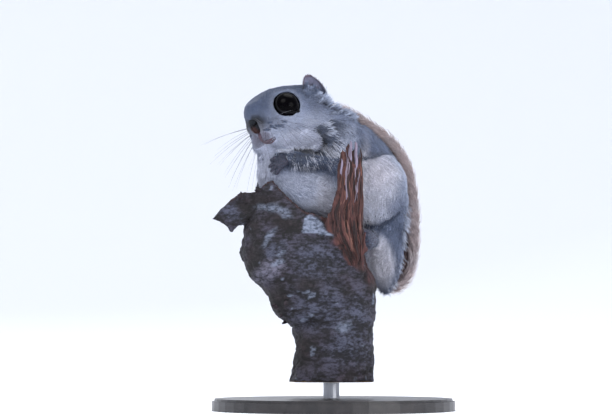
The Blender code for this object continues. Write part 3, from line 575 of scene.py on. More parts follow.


# Markings and painted light and shade: soft ovals laid over each other on the animal's left side as it is
# seen from the front of the stand, in millimetres across and up, and mirrored to its right side
# each oval: colour, across, up, half width, half height, tilt, strength, softness
markingsAndPaintedLight = (
    ("slate", -27, 159.5, 23, 8.5, 14, 1.0, 0.5), ("slate", -38, 152, 7, 8, 0, 0.85, 0.6),
    ("pale", -26, 140, 15, 8.5, 0, 0.8, 0.6), ("pale", -23.5, 151.8, 8.4, 7.6, -20, 0.45, 0.35),
    ("grey", -25, 158.8, 5.0, 1.0, 6, 0.5, 0.5), ("white", -16, 134.4, 11.5, 5.4, 2, 0.8, 0.25),
    ("slate", -33, 146.5, 6.5, 4.6, -15, 0.5, 0.7), ("dark", -37.4, 143.0, 4.8, 4.8, -10, 0.9, 0.5),
    ("soot", -38.4, 142.4, 4.2, 4.2, -10, 1.0, 0.4), ("slate", -44.5, 145.5, 3.2, 6.0, 0, 0.7, 0.5),
    ("dark", -31.5, 142.6, 5.5, 1.1, 18, 0.35, 0.8), ("dark", -31, 144.8, 5.0, 0.8, 14, 0.3, 0.8),
    ("pale", -8, 144.5, 8, 5.5, -10, 0.55, 0.6), ("white", -10, 143.0, 4.5, 2.6, -10, 0.35, 0.7),
    ("white", -37, 124, 9, 15, 0, 0.95, 0.5), ("white", -38, 134, 6, 4, 0, 0.6, 0.5),
    ("lip", -34.4, 136.6, 2.8, 2.4, -30, 0.65, 0.5), ("pale", 4.5, 136.5, 6.5, 6.5, -20, 0.8, 0.6),
    ("slate", 17, 131, 6, 8.5, 20, 0.45, 0.6), ("dark", -2.5, 139.2, 7.5, 2.4, -12, 0.7, 0.5),
    ("dark", -2.5, 134.2, 3.0, 5.0, 25, 0.4, 0.6), ("slate", -13, 124.6, 15.5, 4.8, -6, 1.0, 0.3),
    # painted shadow: the thin dark line at -8, 128 under the cheek's white lobe
    ("dark", -22, 124.0, 6.5, 4.2, -6, 0.6, 0.5), ("dark", -8, 128.0, 10, 1.5, 6, 0.7, 0.5),
    # painted shadow: the thin dark line at 21, 128 in the crease over the thigh
    ("grey", -3, 126.5, 9, 4.0, -8, 0.5, 0.6), ("dark", 21, 128.0, 5, 1.2, 0, 0.5, 0.5),
    ("pale", -14, 106.5, 19, 13, -5, 0.8, 0.25), ("white", -13, 113.0, 16, 5.0, -5, 0.4, 0.5),
    ("white", -6, 100.5, 11, 5.5, -14, 0.7, 0.6), ("white", 22.4, 110.0, 12.6, 17.2, -12, 1.0, 0.14),
    ("white", 12.5, 112, 5, 14, -6, 0.8, 0.5), ("white", 16.5, 97, 6.0, 8.5, 0, 0.9, 0.4),
    # painted highlight at 20, 118 on the thigh's upper left; painted shade at 34.5, 112 down its right edge
    ("paintedHighlight", 20, 118, 8, 6.5, 0, 0.5, 0.7), ("shade", 34.5, 112, 3.6, 13, -8, 0.7, 0.7),
    # painted shade at 31.5, 125 on the thigh's upper right edge
    ("shade", 31.5, 125.0, 6.0, 3.4, -45, 0.9, 0.5), ("grey", 31.5, 101.5, 6.5, 4.6, -50, 0.7, 0.6),
    ("grey", 27, 89.5, 10.5, 5.0, 30, 0.75, 0.5), ("slate", 25, 91.5, 8.0, 1.8, 34, 0.6, 0.7),
    ("white", 23.0, 75.0, 7.0, 12.0, 5, 0.95, 0.3), ("shade", 25, 65, 5, 4, 0, 0.4, 0.6),
    ("shade", 35.0, 76, 2.6, 10, -4, 0.7, 0.7), ("slate", 30, 92, 6, 4, 0, 0.6, 0.6),
    ("pale", 36.5, 103, 1.5, 14, -3, 0.5, 0.7), ("grey", 20, 135, 9, 4.5, -42, 0.6, 0.6),
    # painted light: the bright ovals lighten fur where shadow falls, by the stub, under the arm, on thigh and
    # rump
    ("paintedLight", 13.0, 108.0, 2.6, 22, -4, 0.9, 0.6), ("paintedLight", 15.0, 91.0, 4.6, 7.0, 0, 0.9, 0.5),
    ("paintedLight", 23.5, 74.0, 6.0, 11.0, 5, 0.9, 0.4), ("paintedLight", 22, 113, 9.5, 13, -12, 0.4, 0.4),
    ("paintedLight", -4.5, 104.0, 5.0, 10, 0, 0.6, 0.6), ("dark", 1.2, 142.0, 5.0, 2.2, -15, 0.8, 0.5),
    ("white", -40.0, 137.6, 2.6, 3.4, 0, 0.8, 0.5),
)
coatColours = {
    kind: (linear(*root), linear(*tip))
    for kind, root, tip in (
        ("grey", (48, 56, 75), (138, 150, 178)),
        ("slate", (28, 34, 48), (86, 99, 127)),
        ("white", (140, 146, 172), (218, 222, 236)),
        # painted light: fur made lighter where shadow falls on it
        ("paintedLight", (188, 188, 206), (248, 246, 252)),
        # painted highlight: the pale pinkish light on the thigh's upper left
        ("paintedHighlight", (150, 146, 164), (240, 230, 236)),
        ("pale", (96, 104, 126), (198, 206, 226)),
        # the bluish grey that fur shows in shade; painted shade where it darkens the thigh's right edges
        ("shade", (92, 102, 126), (176, 187, 211)),
        ("dark", (18, 21, 31), (72, 82, 104)),
        ("soot", (8, 9, 11), (40, 42, 48)),
        ("lip", (44, 34, 44), (98, 82, 102)),
        ("tail", (100, 76, 74), (196, 164, 154)),
        ("paleTail", (118, 108, 114), (210, 198, 200)),
    )
}


def seenAt(points):
    # where places appear in the plane y = 0 from the camera's place, across and up
    share = viewPlace[1] / (viewPlace[1] - points[:, 1])
    seen = viewPlace + (points - viewPlace) * share[:, None]
    return seen[:, [0, 2]]


def ovalShare(seen, x, z, halfWidth, halfHeight, tilt, softness):
    # 1 inside the oval, 0 outside, smooth over its soft edge
    turn = math.radians(tilt)
    right, up = seen[:, 0] - x, seen[:, 1] - z
    along = (right * math.cos(turn) + up * math.sin(turn)) / halfWidth
    over = (up * math.cos(turn) - right * math.sin(turn)) / halfHeight
    return 1 - ramp(np.hypot(along, over), 1 - softness, 1 + softness)


# distances from the head's centre between which the markings turn from the head's to the body's,
# and within which combs are mirrored by the head's frame
headReach = (24, 31)
combReach = 27


def nearSide(points):
    # the places mirrored to the left side by each frame, and how far each place is the head's
    ofHead, ofBody = headFrame(points), points @ bodyAxes.T
    ofHead[:, 1], ofBody[:, 1] = np.abs(ofHead[:, 1]), np.abs(ofBody[:, 1])
    headness = 1 - ramp(np.linalg.norm(points - headCentre, axis=1), *headReach)
    return seenAt(inHead(ofHead)), seenAt(inBody(ofBody)), headness


def ovalBothSides(places, *oval):
    # the share found on the head times the headness, plus the body's times the rest
    head, body, headness = places
    return ovalShare(head, *oval) * headness + ovalShare(body, *oval) * (1 - headness)


# how the edges of the markings wander
ragged = {"by": 0.7, "size": 2.2, "seeds": (3, 4, 5)}


def coatColour(points, along):
    # colour at this share of the hair's length, dark at the root and lightest at the tip, with painted light and
    # shade
    along = np.broadcast_to(np.asarray(along, float), (len(points),))[:, None]
    places = nearSide(points + ragged["by"] * noiseVectors(points, ragged["size"], ragged["seeds"]))
    colour = blended(*coatColours["grey"], along)
    for kind, x, z, halfWidth, halfHeight, tilt, strength, softness in markingsAndPaintedLight:
        share = strength * ovalBothSides(places, x, z, halfWidth, halfHeight, tilt, softness)
        colour = blended(colour, blended(*coatColours[kind], along), share[:, None])
    return colour


# Skin: one surface in place of the flesh nodes
skinLook = {
    "voxel": 0.7,
    "grown": 0.28,
    "fairing": 7,
    "normalFairing": 4,
    "grooveDepth": 0.7,
    "grooveWidth": 0.6,
    "shareOfHair": 0.5,
    "underEye": 0.05,
}
# forms raised or sunk in the skin, laid out as the markings are
# each form: across, up, half width, half height, tilt, amount, softness
reliefs = (
    (-12.3, 134.5, 6.2, 5.2, 0, 1.7, 0.14), (-20, 134.0, 11, 5.2, 0, 1.4, 0.2),
    (-8, 126.8, 14, 1.5, 4, -0.9, 0.6), (-4.6, 132.5, 1.3, 5.0, 18, -0.8, 0.6),
    (24, 109.8, 11.4, 17.0, -14, 1.3, 0.14), (18.5, 127.6, 8, 1.6, 14, -1.2, 0.6),
    (26.5, 93.8, 9, 1.5, 38, -1.1, 0.6), (25, 73.5, 5.2, 11, 5, 0.9, 0.3),
    (-14, 107, 19, 12, -5, 0.7, 0.15), (-24.5, 159.6, 7, 1.3, 8, 0.45, 0.6),
    (-24, 146.2, 6.5, 1.2, -12, 0.35, 0.7), (5, 136, 8, 7, -20, 0.6, 0.5),
    (-39.5, 158.6, 6.0, 2.6, 36, -1.3, 0.6), (-47.0, 150.0, 2.4, 4.5, 0, -0.7, 0.6),
    (3.0, 150.5, 7.5, 4.5, -36, 2.0, 0.7), (-24, 160.8, 13, 2.6, 14, 0.7, 0.6),
    (13, 135, 1.6, 8, 24, -0.7, 0.7), (18, 134, 3.0, 8.5, 24, 0.6, 0.5),
)
fleshNodes = ["head", "neck", "torso"] + [
    f"{part}_{side}" for part in ("arm", "membrane", "thigh", "shank") for side in ("left", "right")
]
eyes = {
    "radius": 6.9,
    "place": (9.8, 9.3, 3.4),
    "look": (0.42, 0.87, 0.2),
    # edge of the opening: angle from its back corner, upwards over the eye, and distance from the middle
    "edge": (
        (0, 7.2), (18, 6.2), (41, 5.2), (86, 5.1), (131, 5.2), (176, 5.4), (208, 5.4), (240, 5.4), (263, 5.3),
        (290, 5.0), (311, 5.0), (345, 6.4),
    ),
    # half width of the lid's roll, how much wider it is at the back corner, how thick and how deep it is
    "lid": 0.4,
    "lidCorner": 0.25,
    "lidThickness": 0.3,
    "lidDepth": 0.5,
    "lidInward": 0.15,
}
mouth = {
    "inside": (15.0, 0.0, -5.0),
    "fullness": {1: 1.3, -1: 0.2},
    "bare": {1: 0.75, -1: 0.0},
    # the line between the lips is dark red, partly the lips' own red and partly painted shade in the crease
    # the two lips and the red line between them: shift across the line, thickness, depth, redness
    "rolls": ((0.6, 0.6, 0.3, 0.0), (-0.7, 0.8, 0.3, 0.0), (0.0, 0.5, 0.5, 1.0)),
    "ways": (
        (10, 0.3, 0.2), (9.7, 0.2, -2.4), (8.9, 0.2, -4.8), (7.4, 0.6, -6.6), (6.8, 2.6, -6.8), (6.2, 4.8, -6.0),
        (5.8, 6.3, -5.2), (5.0, 7.5, -4.3),
    ),
}


def eyeFrame(side):
    # centre of the eye, its axis out of the head, the way to its back corner, and upwards over the eye
    mirror = np.array([1, side, 1])
    axis = unit(np.array(eyes["look"])) * mirror @ headAxes
    back = np.array([-1.0, 0.0, -1.0]) @ headAxes
    back = unit(back - axis * (back @ axis))
    return inHead(np.array(eyes["place"]) * mirror), axis, back, np.cross(axis, back) * side


def eyeEdge(turns):
    # the opening's reach at these angles: straight between its corners, averaged over twelve degrees
    angles, reach = np.radians([a for a, _ in eyes["edge"]]), np.array([r for _, r in eyes["edge"]])
    padded = np.concatenate([angles - 2 * np.pi, angles, angles + 2 * np.pi])
    offsets = np.radians((-6, -3, 0, 3, 6))[:, None]
    return np.interp((turns % (2 * np.pi)) + offsets, padded, np.tile(reach, 3)).mean(axis=0)


def offEye(points, side):
    # distance from the eye's axis, height along it, and the opening's reach in that direction
    centre, axis, back, above = eyeFrame(side)
    offset = points - centre
    high = offset @ axis
    flat = offset - high[:, None] * axis
    return np.linalg.norm(flat, axis=1), high, eyeEdge(np.arctan2(flat @ above, flat @ back)), axis


def makeSkin():
    # the flesh nodes as one skin, faired over the gaps, drawn in by the coat's depth, raised and sunk in folds
    skin = remeshed("skin", fleshNodes, skinLook["voxel"], skinLook["grown"])
    mesh = skin.data
    edges = meshEdges(mesh)
    points = faired(meshPoints(mesh), edges, skinLook["fairing"])
    movePoints(mesh, points)
    normals = faired(meshNormals(mesh), edges, skinLook["normalFairing"])
    places = nearSide(points)
    raised = np.zeros(len(points))
    sunk = np.zeros(len(points))
    for x, z, halfWidth, halfHeight, tilt, amount, softness in reliefs:
        move = amount * ovalBothSides(places, x, z, halfWidth, halfHeight, tilt, softness)
        raised, sunk = np.maximum(raised, move), np.minimum(sunk, move)
    outward = raised + sunk - coatAt(points)[1] - skinLook["grown"]
    points = points + normals * outward[:, None]
    for side in (1, -1):
        points = roundEye(points, side)
    movePoints(mesh, points)
    return skin


def roundEye(points, side):
    # lifts the skin outside the opening on to the ball and sinks it below the ball inside the opening
    reach, high, edge, axis = offEye(points, side)
    dome = np.sqrt(np.maximum(eyes["radius"] ** 2 - reach**2, 0))
    outside = ramp(reach - edge, -0.9, -0.3)
    lifted = np.where(reach < eyes["radius"], np.maximum(high, dome + 0.25), high)
    wanted = lifted * outside + np.minimum(high, dome - 1.2) * (1 - outside)
    near = (high > -1.0) & (reach < eyes["radius"] + 1.0)
    return points + axis * (np.where(near, wanted - high, 0.0))[:, None]


def mouthPath(tree, side):
    # rays from inside the head along the mouth's ways, where they leave the skin, run together smoothly
    start = inHead(mouth["inside"])
    ways = np.array(mouth["ways"]) * np.array([1, side, 1]) @ headAxes
    return smoothPath([castFrom(tree, start, way)[0] for way in ways], 36)


def sinkGroove(mesh, path, depth, width):
    # pulls the skin in along the path: depth times the bell of the distance and the width
    points = meshPoints(mesh)
    away = np.min(np.linalg.norm(points[:, None] - path, axis=2), axis=1)
    movePoints(mesh, points - meshNormals(mesh) * (depth * bell(away, width))[:, None])


print("stage: skin")
skin = makeSkin()
skinTree = treeOf(skin.data)
mouthPaths = {side: mouthPath(skinTree, side) for side in (1, -1)}
for side in (1, -1):
    sinkGroove(skin.data, mouthPaths[side], skinLook["grooveDepth"], skinLook["grooveWidth"])
skinColours = coatColour(meshPoints(skin.data), skinLook["shareOfHair"])
for side in (1, -1):
    reach, high, edge, _ = offEye(meshPoints(skin.data), side)
    skinColours *= np.where((reach < edge + 0.2) & (high > -1), skinLook["underEye"], 1.0)[:, None]
setColours(skin.data, "coatColour", skinColours)
unwrapped(skin)
finishPiece(skin, coatMaterial("skinFur", 2600.0), "grey_fur", *fleshNodes)
print("skin faces", len(skin.data.polygons))


# Hair: closed three-sided strands that taper to a point, many to a mesh

def sampleRoots(piece, density, draw):
    # even random places on a mesh: points, normals and bake coordinates
    mesh = piece.data
    mesh.calc_loop_triangles()
    corners, loops = (rowsOf(mesh.loop_triangles, field, 3, np.int32) for field in ("vertices", "loops"))
    points = meshPoints(mesh)
    a, b, c = (points[corners[:, corner]] for corner in range(3))
    area = 0.5 * np.linalg.norm(np.cross(b - a, c - a), axis=1)
    wanted = np.cumsum(area * density((a + b + c) / 3))
    number = int(wanted[-1])
    chosen = np.searchsorted(wanted, (np.arange(number) + draw.random(number)) / number * wanted[-1])
    chosen = np.minimum(chosen, len(corners) - 1)
    first, second = np.sqrt(draw.random(number)), draw.random(number)
    share = np.stack([1 - first, first * (1 - second), first * second], 1)
    sources = ((points, corners), (meshNormals(mesh), corners), (bakeRows(mesh), loops))
    point, normal, uv = (np.einsum("ij,ijk->ik", share, rows[index[chosen]]) for rows, index in sources)
    return {"points": point, "normals": unit(normal), "uv": uv}


def chosenOf(table, keep):
    # the same rows of every array in the table
    return {name: values[keep] for name, values in table.items()}


def clumped(points, offsets, size, pull):
    # draws the tips in each small cell of the coat towards their mean, so that hairs run together
    cells = np.floor(points / size).astype(np.int64) @ np.array([1, 2**12, 2**24])
    _, cell = np.unique(cells, return_inverse=True)
    tips = points + offsets
    count = np.bincount(cell)
    mean = np.stack([np.bincount(cell, tips[:, axis]) / count for axis in range(3)], 1)
    return offsets + (mean[cell] - tips) * np.asarray(pull)[..., None]


# shares of a hair's length at which it has a ring of corners, before its tip
shortStations = (0.0, 0.5)
longStations = (0.0, 0.35, 0.7)
hairLook = {
    "seed": 11,
    "unevenLength": 0.3,
    "unevenWay": 0.15,
    "wave": 0.2,
    "waveSize": 5.0,
    "waveSeeds": (21, 22, 23),
    "uneven": (0.75, 0.5),
    "byEye": 0.45,
    "lift": 0.07,
    "bend": 60.0,
    "sunk": 0.25,
    "clumpSize": 1.5,
    "clumpPull": 0.45,
    "tone": 0.15,
    "whiteFrom": 0.5,
    "shortBelow": 3.6,
    # half widths at the rings, as shares of half the hair's width, and how flat a hair is
    "taper": (0.7, 1.0, 0.72),
    "flatness": 0.6,
    "bakePatch": 0.003,
}


def withTip(stations):
    # the stations with the tip's share, 1, after them
    return np.array(stations + (1.0,))


def arched(at):
    # 0 at the root and 1 at the tip, steep at first
    return 1 - (1 - at) ** 2


def hairLines(roots, hair, stations):
    # centre line: root + way * length * t + normal * (height * arch - (length * t)^2 / bend) + lean * t^2,
    # where t is the share of the length and arch is 1 - (1 - t)^2
    # hair holds arrays: ways, lengths, heights, leans
    at = withTip(stations)
    reach = hair["lengths"][:, None] * at
    rise = hair["heights"][:, None] * arched(at) - reach**2 / hairLook["bend"] - hairLook["sunk"]
    line = roots["points"][:, None] + hair["ways"][:, None] * reach[..., None]
    return line + roots["normals"][:, None] * rise[..., None] + hair["leans"][:, None] * (at**2)[:, None]


def growHair(name, roots, line, hair, stations, slot):
    # tapered rings of three corners along each line; hair holds arrays: widths, rootColours, tipColours
    normals = roots["normals"]
    count, rings = len(normals), len(stations)
    side = unit(np.cross(line[:, 1] - line[:, 0], normals))
    at = withTip(stations)
    half = 0.5 * hair["widths"][:, None] * np.array(hairLook["taper"])[:rings]
    rim = np.stack([side, -side, normals * hairLook["flatness"]], 1)
    loops = line[:, :rings, None] + half[..., None, None] * rim[:, None]
    vertices = np.concatenate([loops.reshape(count, rings * 3, 3), line[:, rings:]], 1)
    template = [(2, 1, 0)]
    for ring in range(rings - 1):
        for step in range(3):
            here, beside = ring * 3 + step, ring * 3 + (step + 1) % 3
            template += [(here, beside, beside + 3), (here, beside + 3, here + 3)]
    last = (rings - 1) * 3
    template += [(last + step, last + (step + 1) % 3, rings * 3) for step in range(3)]
    template = np.array(template)
    perHair = rings * 3 + 1
    triangles = (template[None] + (np.arange(count) * perHair)[:, None, None]).reshape(-1, 3)
    piece = meshObject(name, vertices.reshape(-1, 3), triangles)
    share = np.append(np.repeat(at[:rings], 3), 1.0)
    colours = blended(hair["rootColours"][:, None], hair["tipColours"][:, None], share[:, None])
    setColours(piece.data, "coatColour", colours.reshape(-1, 3))
    patch = np.stack([np.append(np.tile([0.0, 1.0, 0.5], rings), 0.5) - 0.5, share - 0.5], 1)
    patch *= hairLook["bakePatch"]
    uv = (roots["uv"][:, None] + patch[None]).reshape(-1, 2)[triangles.ravel()]
    piece.data.uv_layers.new(name="OFBake").uv.foreach_set("vector", uv.astype(np.float32).ravel())
    print(name, count, "hairs", len(triangles), "triangles")
    return finishPiece(piece, hairMaterial, slot)


def growCoat(name, roots, hair, stations, slot):
    growHair(name, roots, hairLines(roots, hair, stations), hair, stations, slot)


def coatHair(roots, draw):
    # lie, length, width and colours of plain coat hair at these roots
    points, normals = roots["points"], roots["normals"]
    count = len(points)
    length, depth, width, _ = coatAt(points)
    length = length * (1 + hairLook["unevenLength"] * (draw.random(count) - 0.5) * 2)
    wave = hairLook["wave"] * noiseVectors(points, hairLook["waveSize"], hairLook["waveSeeds"])
    way = unit(lieAt(points)) + wave + hairLook["unevenWay"] * draw.standard_normal((count, 3))
    least, spare = hairLook["uneven"]
    for side in (1, -1):
        centre = eyeFrame(side)[0]
        toEye = across(unit(centre - points), normals)
        near = 1 - ramp(np.linalg.norm(points - centre, axis=1), 7.0, 11.0)
        way = way - toEye * (np.maximum(np.einsum("ij,ij->i", way, toEye), 0) * near)[:, None]
        length = length * (1 - hairLook["byEye"] * near)
    way = unit(across(way, normals))
    height = (depth + length * hairLook["lift"]) * (least + spare * draw.random(count))
    size = hairLook["clumpSize"] + 0.2 * length.mean()
    offset = way * length[:, None]
    lean = clumped(points, offset, size, hairLook["clumpPull"] * draw.random(count)) - offset
    tone = 1 + hairLook["tone"] * (draw.standard_normal(count) * 0.6 + valueNoise(points, 3.0, 31))
    return {
        "ways": way,
        "lengths": length,
        "widths": width * (least + spare * draw.random(count)),
        "heights": height,
        "leans": across(lean, normals),
        "rootColours": coatColour(points, 0.1) * tone[:, None],
        "tipColours": coatColour(points + way * (0.4 * length)[:, None], 1.0) * tone[:, None],
    }


def eyeClear(points, margin):
    # true where a point is outside both eyelids
    clear = np.ones(len(points), bool)
    for side in (1, -1):
        reach, high, edge, _ = offEye(points, side)
        clear &= (reach > edge + margin) | (high < -1.0)
    return clear


print("stage: coat")
draw = np.random.default_rng(hairLook["seed"])
hairMaterial = coatMaterial("hairFur", 1500.0)
roots = sampleRoots(skin, lambda places: coatAt(places)[3], draw)
bare = {"nosePad": (24.0, 0, -1.5), "padRadii": (3.5, 3.4, 3.4), "roundEyes": 0.15}
fromPad = (headFrame(roots["points"]) - np.array(bare["nosePad"])) / np.array(bare["padRadii"])
keep = eyeClear(roots["points"], bare["roundEyes"]) & ~(np.linalg.norm(fromPad, axis=1) < 1)
for side, margin in mouth["bare"].items():
    fromMouth = np.linalg.norm(roots["points"][:, None] - mouthPaths[side][::2], axis=2)
    keep &= np.min(fromMouth, axis=1) > margin
roots = chosenOf(roots, keep)
hair = coatHair(roots, draw)
white = hair["tipColours"].mean(axis=1) > hairLook["whiteFrom"]
short = hair["lengths"] < hairLook["shortBelow"]


def coatPieces(prefix, keep, stations, slot, most):
    # splits the chosen hairs into pieces by how far forward they are
    order = np.nonzero(keep)[0]
    order = order[np.argsort(roots["points"][order] @ bodyAxes[0])]
    for number, chosen in enumerate(np.array_split(order, math.ceil(len(order) / most))):
        growCoat(f"{prefix}{number + 1}", chosenOf(roots, chosen), chosenOf(hair, chosen), stations, slot)


# the most hairs in one piece keeps each piece under 200,000 triangles
for prefix, chosen, stations, slot, most in (
    ("shortCoatGrey", short & ~white, shortStations, "grey_fur", 19000),
    ("shortCoatWhite", short & white, shortStations, "white_fur", 19000),
    ("longCoatGrey", ~short & ~white, shortStations, "grey_fur", 19000),
    ("longCoatWhite", ~short & white, longStations, "white_fur", 12000),
):
    coatPieces(prefix, chosen, stations, slot, most)


# Guard hairs: long locks combed over the coat, laid out as the markings are
# each comb: first and last root (across, up), scatter, first and last angle, length, number of locks,
# hairs in a lock, lift, colour at the root, colour at the tip
combs = {
    "chinFringe": ((-29, 127.4), (-20, 127.8), 0.4, -88, -80, 5.0, 20, 8, 0.5, "slate", "white"),
    "chinFringeDark": ((-29, 128.0), (-20, 128.4), 0.5, -88, -78, 5.5, 22, 9, 0.6, "dark", "dark"),
    "cheekFringe": ((-20, 128.4), (-6.0, 130.6), 0.4, -82, -56, 11.5, 26, 8, 0.8, "slate", "white"),
    "cheekFringeDark": ((-21, 129.0), (-5.0, 131.2), 0.6, -82, -52, 11.5, 50, 10, 0.9, "dark", "dark"),
    "cheekFringeBack": ((-6.5, 131.0), (-1.0, 137.0), 0.6, -56, -36, 15.5, 34, 9, 1.2, "slate", "white"),
    "cheekFringeBackDark": ((-6.0, 131.2), (-2.0, 137.5), 0.6, -58, -34, 15.0, 26, 9, 1.1, "dark", "dark"),
    "fringeEnd": ((0, 133.0), (9.0, 127.5), 1.5, -62, -44, 9.0, 36, 8, 1.1, "slate", "white"),
    "fringeEndDark": ((0, 133.5), (9.0, 128.5), 1.5, -62, -44, 9.0, 24, 9, 1.1, "dark", "dark"),
    "shoulderKnot": ((-1.5, 143.5), (4.5, 140.0), 0.8, -6, -26, 6.5, 16, 10, 0.8, "dark", "dark"),
    "lobeHem": ((-31, 129.5), (-8, 129.8), 0.5, -8, 12, 4.5, 34, 9, 0.5, "pale", "white"),
    "shoulderStreaks": ((-10, 139.5), (-4.2, 135.0), 0.9, 22, -12, 9.5, 20, 12, 0.8, "dark", "dark"),
    "shoulderStreaksPale": ((-8, 141.5), (-1.5, 138.0), 1.2, 12, -22, 8.5, 10, 8, 0.9, "slate", "pale"),
    "shoulderFan": ((2, 141.0), (8, 133.0), 2.4, -25, -62, 8.0, 20, 8, 0.9, "slate", "pale"),
    "shoulderDark": ((7, 143.0), (15, 133.0), 2.6, -42, -66, 9.0, 40, 12, 0.8, "dark", "slate"),
    "shoulderWhite": ((13.5, 138.5), (17.5, 134.0), 0.7, -40, -55, 7.0, 9, 8, 1.0, "pale", "white"),
    "backGrey": ((14, 146.0), (31, 128.0), 2.6, -40, -66, 6.5, 44, 7, 0.8, "slate", "grey"),
    # painted shadow: dark hairs along the crease over the thigh
    "creaseShadow": ((11, 128.5), (24, 130.0), 0.8, -70, -28, 5.0, 22, 10, 0.5, "dark", "slate"),
    "whiskerBed": ((-36, 141.5), (-27, 143.0), 0.9, 4, -14, 4.0, 12, 5, 0.3, "slate", "slate"),
    "rumpEdge": ((36.8, 102.0), (32.6, 66.0), 1.3, -46, -70, 6.0, 130, 3, 0.9, "grey", "pale"),
    "napeFuzz": ((-8.0, 155.6), (9.0, 146.0), 1.2, 46, 10, 5.2, 100, 9, 2.0, "grey", "shade"),
    "backFlecks": ((16, 141.0), (32, 124.0), 3.2, -38, -62, 6.0, 26, 6, 0.9, "grey", "pale"),
    "earFront": ((-15.0, 158.2), (-9.0, 156.0), 0.9, 64, 84, 5.6, 26, 8, 0.6, "slate", "slate"),
    "earFrontPale": ((-14.5, 158.0), (-11.0, 157.0), 0.8, 66, 80, 4.6, 10, 7, 0.7, "slate", "grey"),
    "rumpTip": ((22, 66.0), (31, 62.5), 1.4, -78, -66, 5.0, 26, 10, 1.0, "shade", "white"),
    "shankStreaks": ((16, 95.0), (35, 99.0), 1.6, -100, -80, 5.5, 40, 8, 0.6, "dark", "slate"),
    "shankGrey": ((18, 90.0), (34, 95.0), 1.8, -110, -80, 5.0, 24, 7, 0.7, "slate", "grey"),
}


combAt = withTip(longStations)
combLook = {
    "turn": 6,
    "hairTurn": 0.09,
    "reach": (0.75, 1.12),
    "hairReach": (0.8, 1.05),
    "spot": 0.42,
    "together": 0.75,
    "sway": 0.07,
    "lift": (0.7, 1.3),
    "width": (0.2, 0.34),
}
# unevenness of tone from one lock to the next, and from one short hair to the next
toneSpread = 0.16


def tones(count):
    # 1 plus the spread times a normal random number, one for each row
    return 1 + toneSpread * draw.standard_normal((count, 1))


def combRows():
    # locks of hairs as lines across and up, each lock's tips drawn together
    rows = []
    for start, end, scatter, *angles, length, locks, perLock, lift, rootKind, tipKind in combs.values():
        share = (np.arange(locks) + draw.random(locks)) / locks
        middle = blended(np.array(start), np.array(end), share[:, None])
        middle = middle + scatter * draw.standard_normal((locks, 2))
        turn = np.radians(blended(*angles, share) + combLook["turn"] * draw.standard_normal(locks))
        reach = length * draw.uniform(*combLook["reach"], locks)
        tone = tones(locks)
        lock = np.repeat(np.arange(locks), perLock)
        count = len(lock)
        spot = middle[lock] + combLook["spot"] * draw.standard_normal((count, 2))
        turn = turn[lock] + combLook["hairTurn"] * draw.standard_normal(count)
        reach = reach[lock] * draw.uniform(*combLook["hairReach"], count)
        way, beside = np.stack([np.cos(turn), np.sin(turn)], 1), np.stack([-np.sin(turn), np.cos(turn)], 1)
        flat = spot[:, None] + way[:, None] * (reach[:, None] * combAt)[..., None]
        sway = combLook["sway"] * reach * draw.standard_normal(count)
        shift = combLook["together"] * (middle[lock] - spot) + beside * sway[:, None]
        rows.append({
            "flat": flat + shift[:, None] * (combAt**2)[:, None],
            "lifts": lift * draw.uniform(*combLook["lift"], count),
            "widths": draw.uniform(*combLook["width"], count),
            "rootColours": coatColours[rootKind][0] * tone[lock],
            "tipColours": coatColours[tipKind][1] * tone[lock],
        })
    return {name: np.concatenate([row[name] for row in rows]) for name in rows[0]}


# farthest that a lock may step forward before it counts as past an edge, and back from ring to ring
drapeSteps = {"forward": 9.0, "back": 2.5}


def combHeights(lifts):
    # how far each ring is off the skin, with the roots sunk in it
    return lifts[:, None] * arched(combAt) - hairLook["sunk"] * (combAt == 0)


def laidOnSkin(flat, lifts):
    # each point is as deep as the skin that is seen there, less the lift; a step in depth is softened
    count, stations = flat.shape[:2]
    spots = np.stack([flat[..., 0], np.zeros((count, stations)), flat[..., 1]], -1)
    hits = [castFrom(skinTree, viewPlace, spot - viewPlace)[0] for spot in spots.reshape(-1, 3)]
    deep = depthsOf(hits).reshape(count, stations)
    for station in range(1, stations):
        before, here = deep[:, station - 1], deep[:, station]
        level = np.where(np.isnan(here) | (here < before - drapeSteps["forward"]), before, here)
        deep[:, station] = np.minimum(level, before + drapeSteps["back"])
    deep = deep - combHeights(lifts)
    return viewPlace + (spots - viewPlace) * (1 - deep / viewPlace[1])[..., None]


def mirrored(lines, lifts):
    # the same lines on the other side, by the head's frame or the body's, laid on the skin again
    flip = np.array([1, -1, 1])
    near = np.linalg.norm(lines[:, 0] - headCentre, axis=1) < combReach
    byHead, byBody = inHead(headFrame(lines) * flip), inBody(lines @ bodyAxes.T * flip)
    lines = np.where(near[:, None, None], byHead, byBody)
    found = np.array([nearestOn(skinTree, point) for point in lines.reshape(-1, 3)])
    places, normals = np.moveaxis(found.reshape(*lines.shape[:2], 2, 3), 2, 0)
    return places + normals * combHeights(lifts)[..., None], normals[:, 0]


def bakePlaces(points):
    # bake coordinates of the skin's nearest corner
    starts = rowsOf(skin.data.polygons, "loop_start", 1, np.int32)[:, 0]
    faces = [skinTree.find_nearest(Vector(point * millimetre))[2] for point in points]
    return bakeRows(skin.data)[starts[faces]]


def makeGuardHairs():
    # the combs draped on the left, and again mirrored on the right
    rows = combRows()
    lines = laidOnSkin(rows["flat"], rows["lifts"])
    onSkin = ~np.isnan(lines[:, 0, 0])
    rows, lines = chosenOf(rows, onSkin), lines[onSkin]
    sides = {"Left": (lines, unit(viewPlace - lines[:, 0])), "Right": mirrored(lines, rows["lifts"])}
    for word, (laid, normals) in sides.items():
        roots = {"points": laid[:, 0], "normals": normals, "uv": bakePlaces(laid[:, 0])}
        growHair("guardHair" + word, roots, laid, rows, longStations, "grey_fur")


makeGuardHairs()


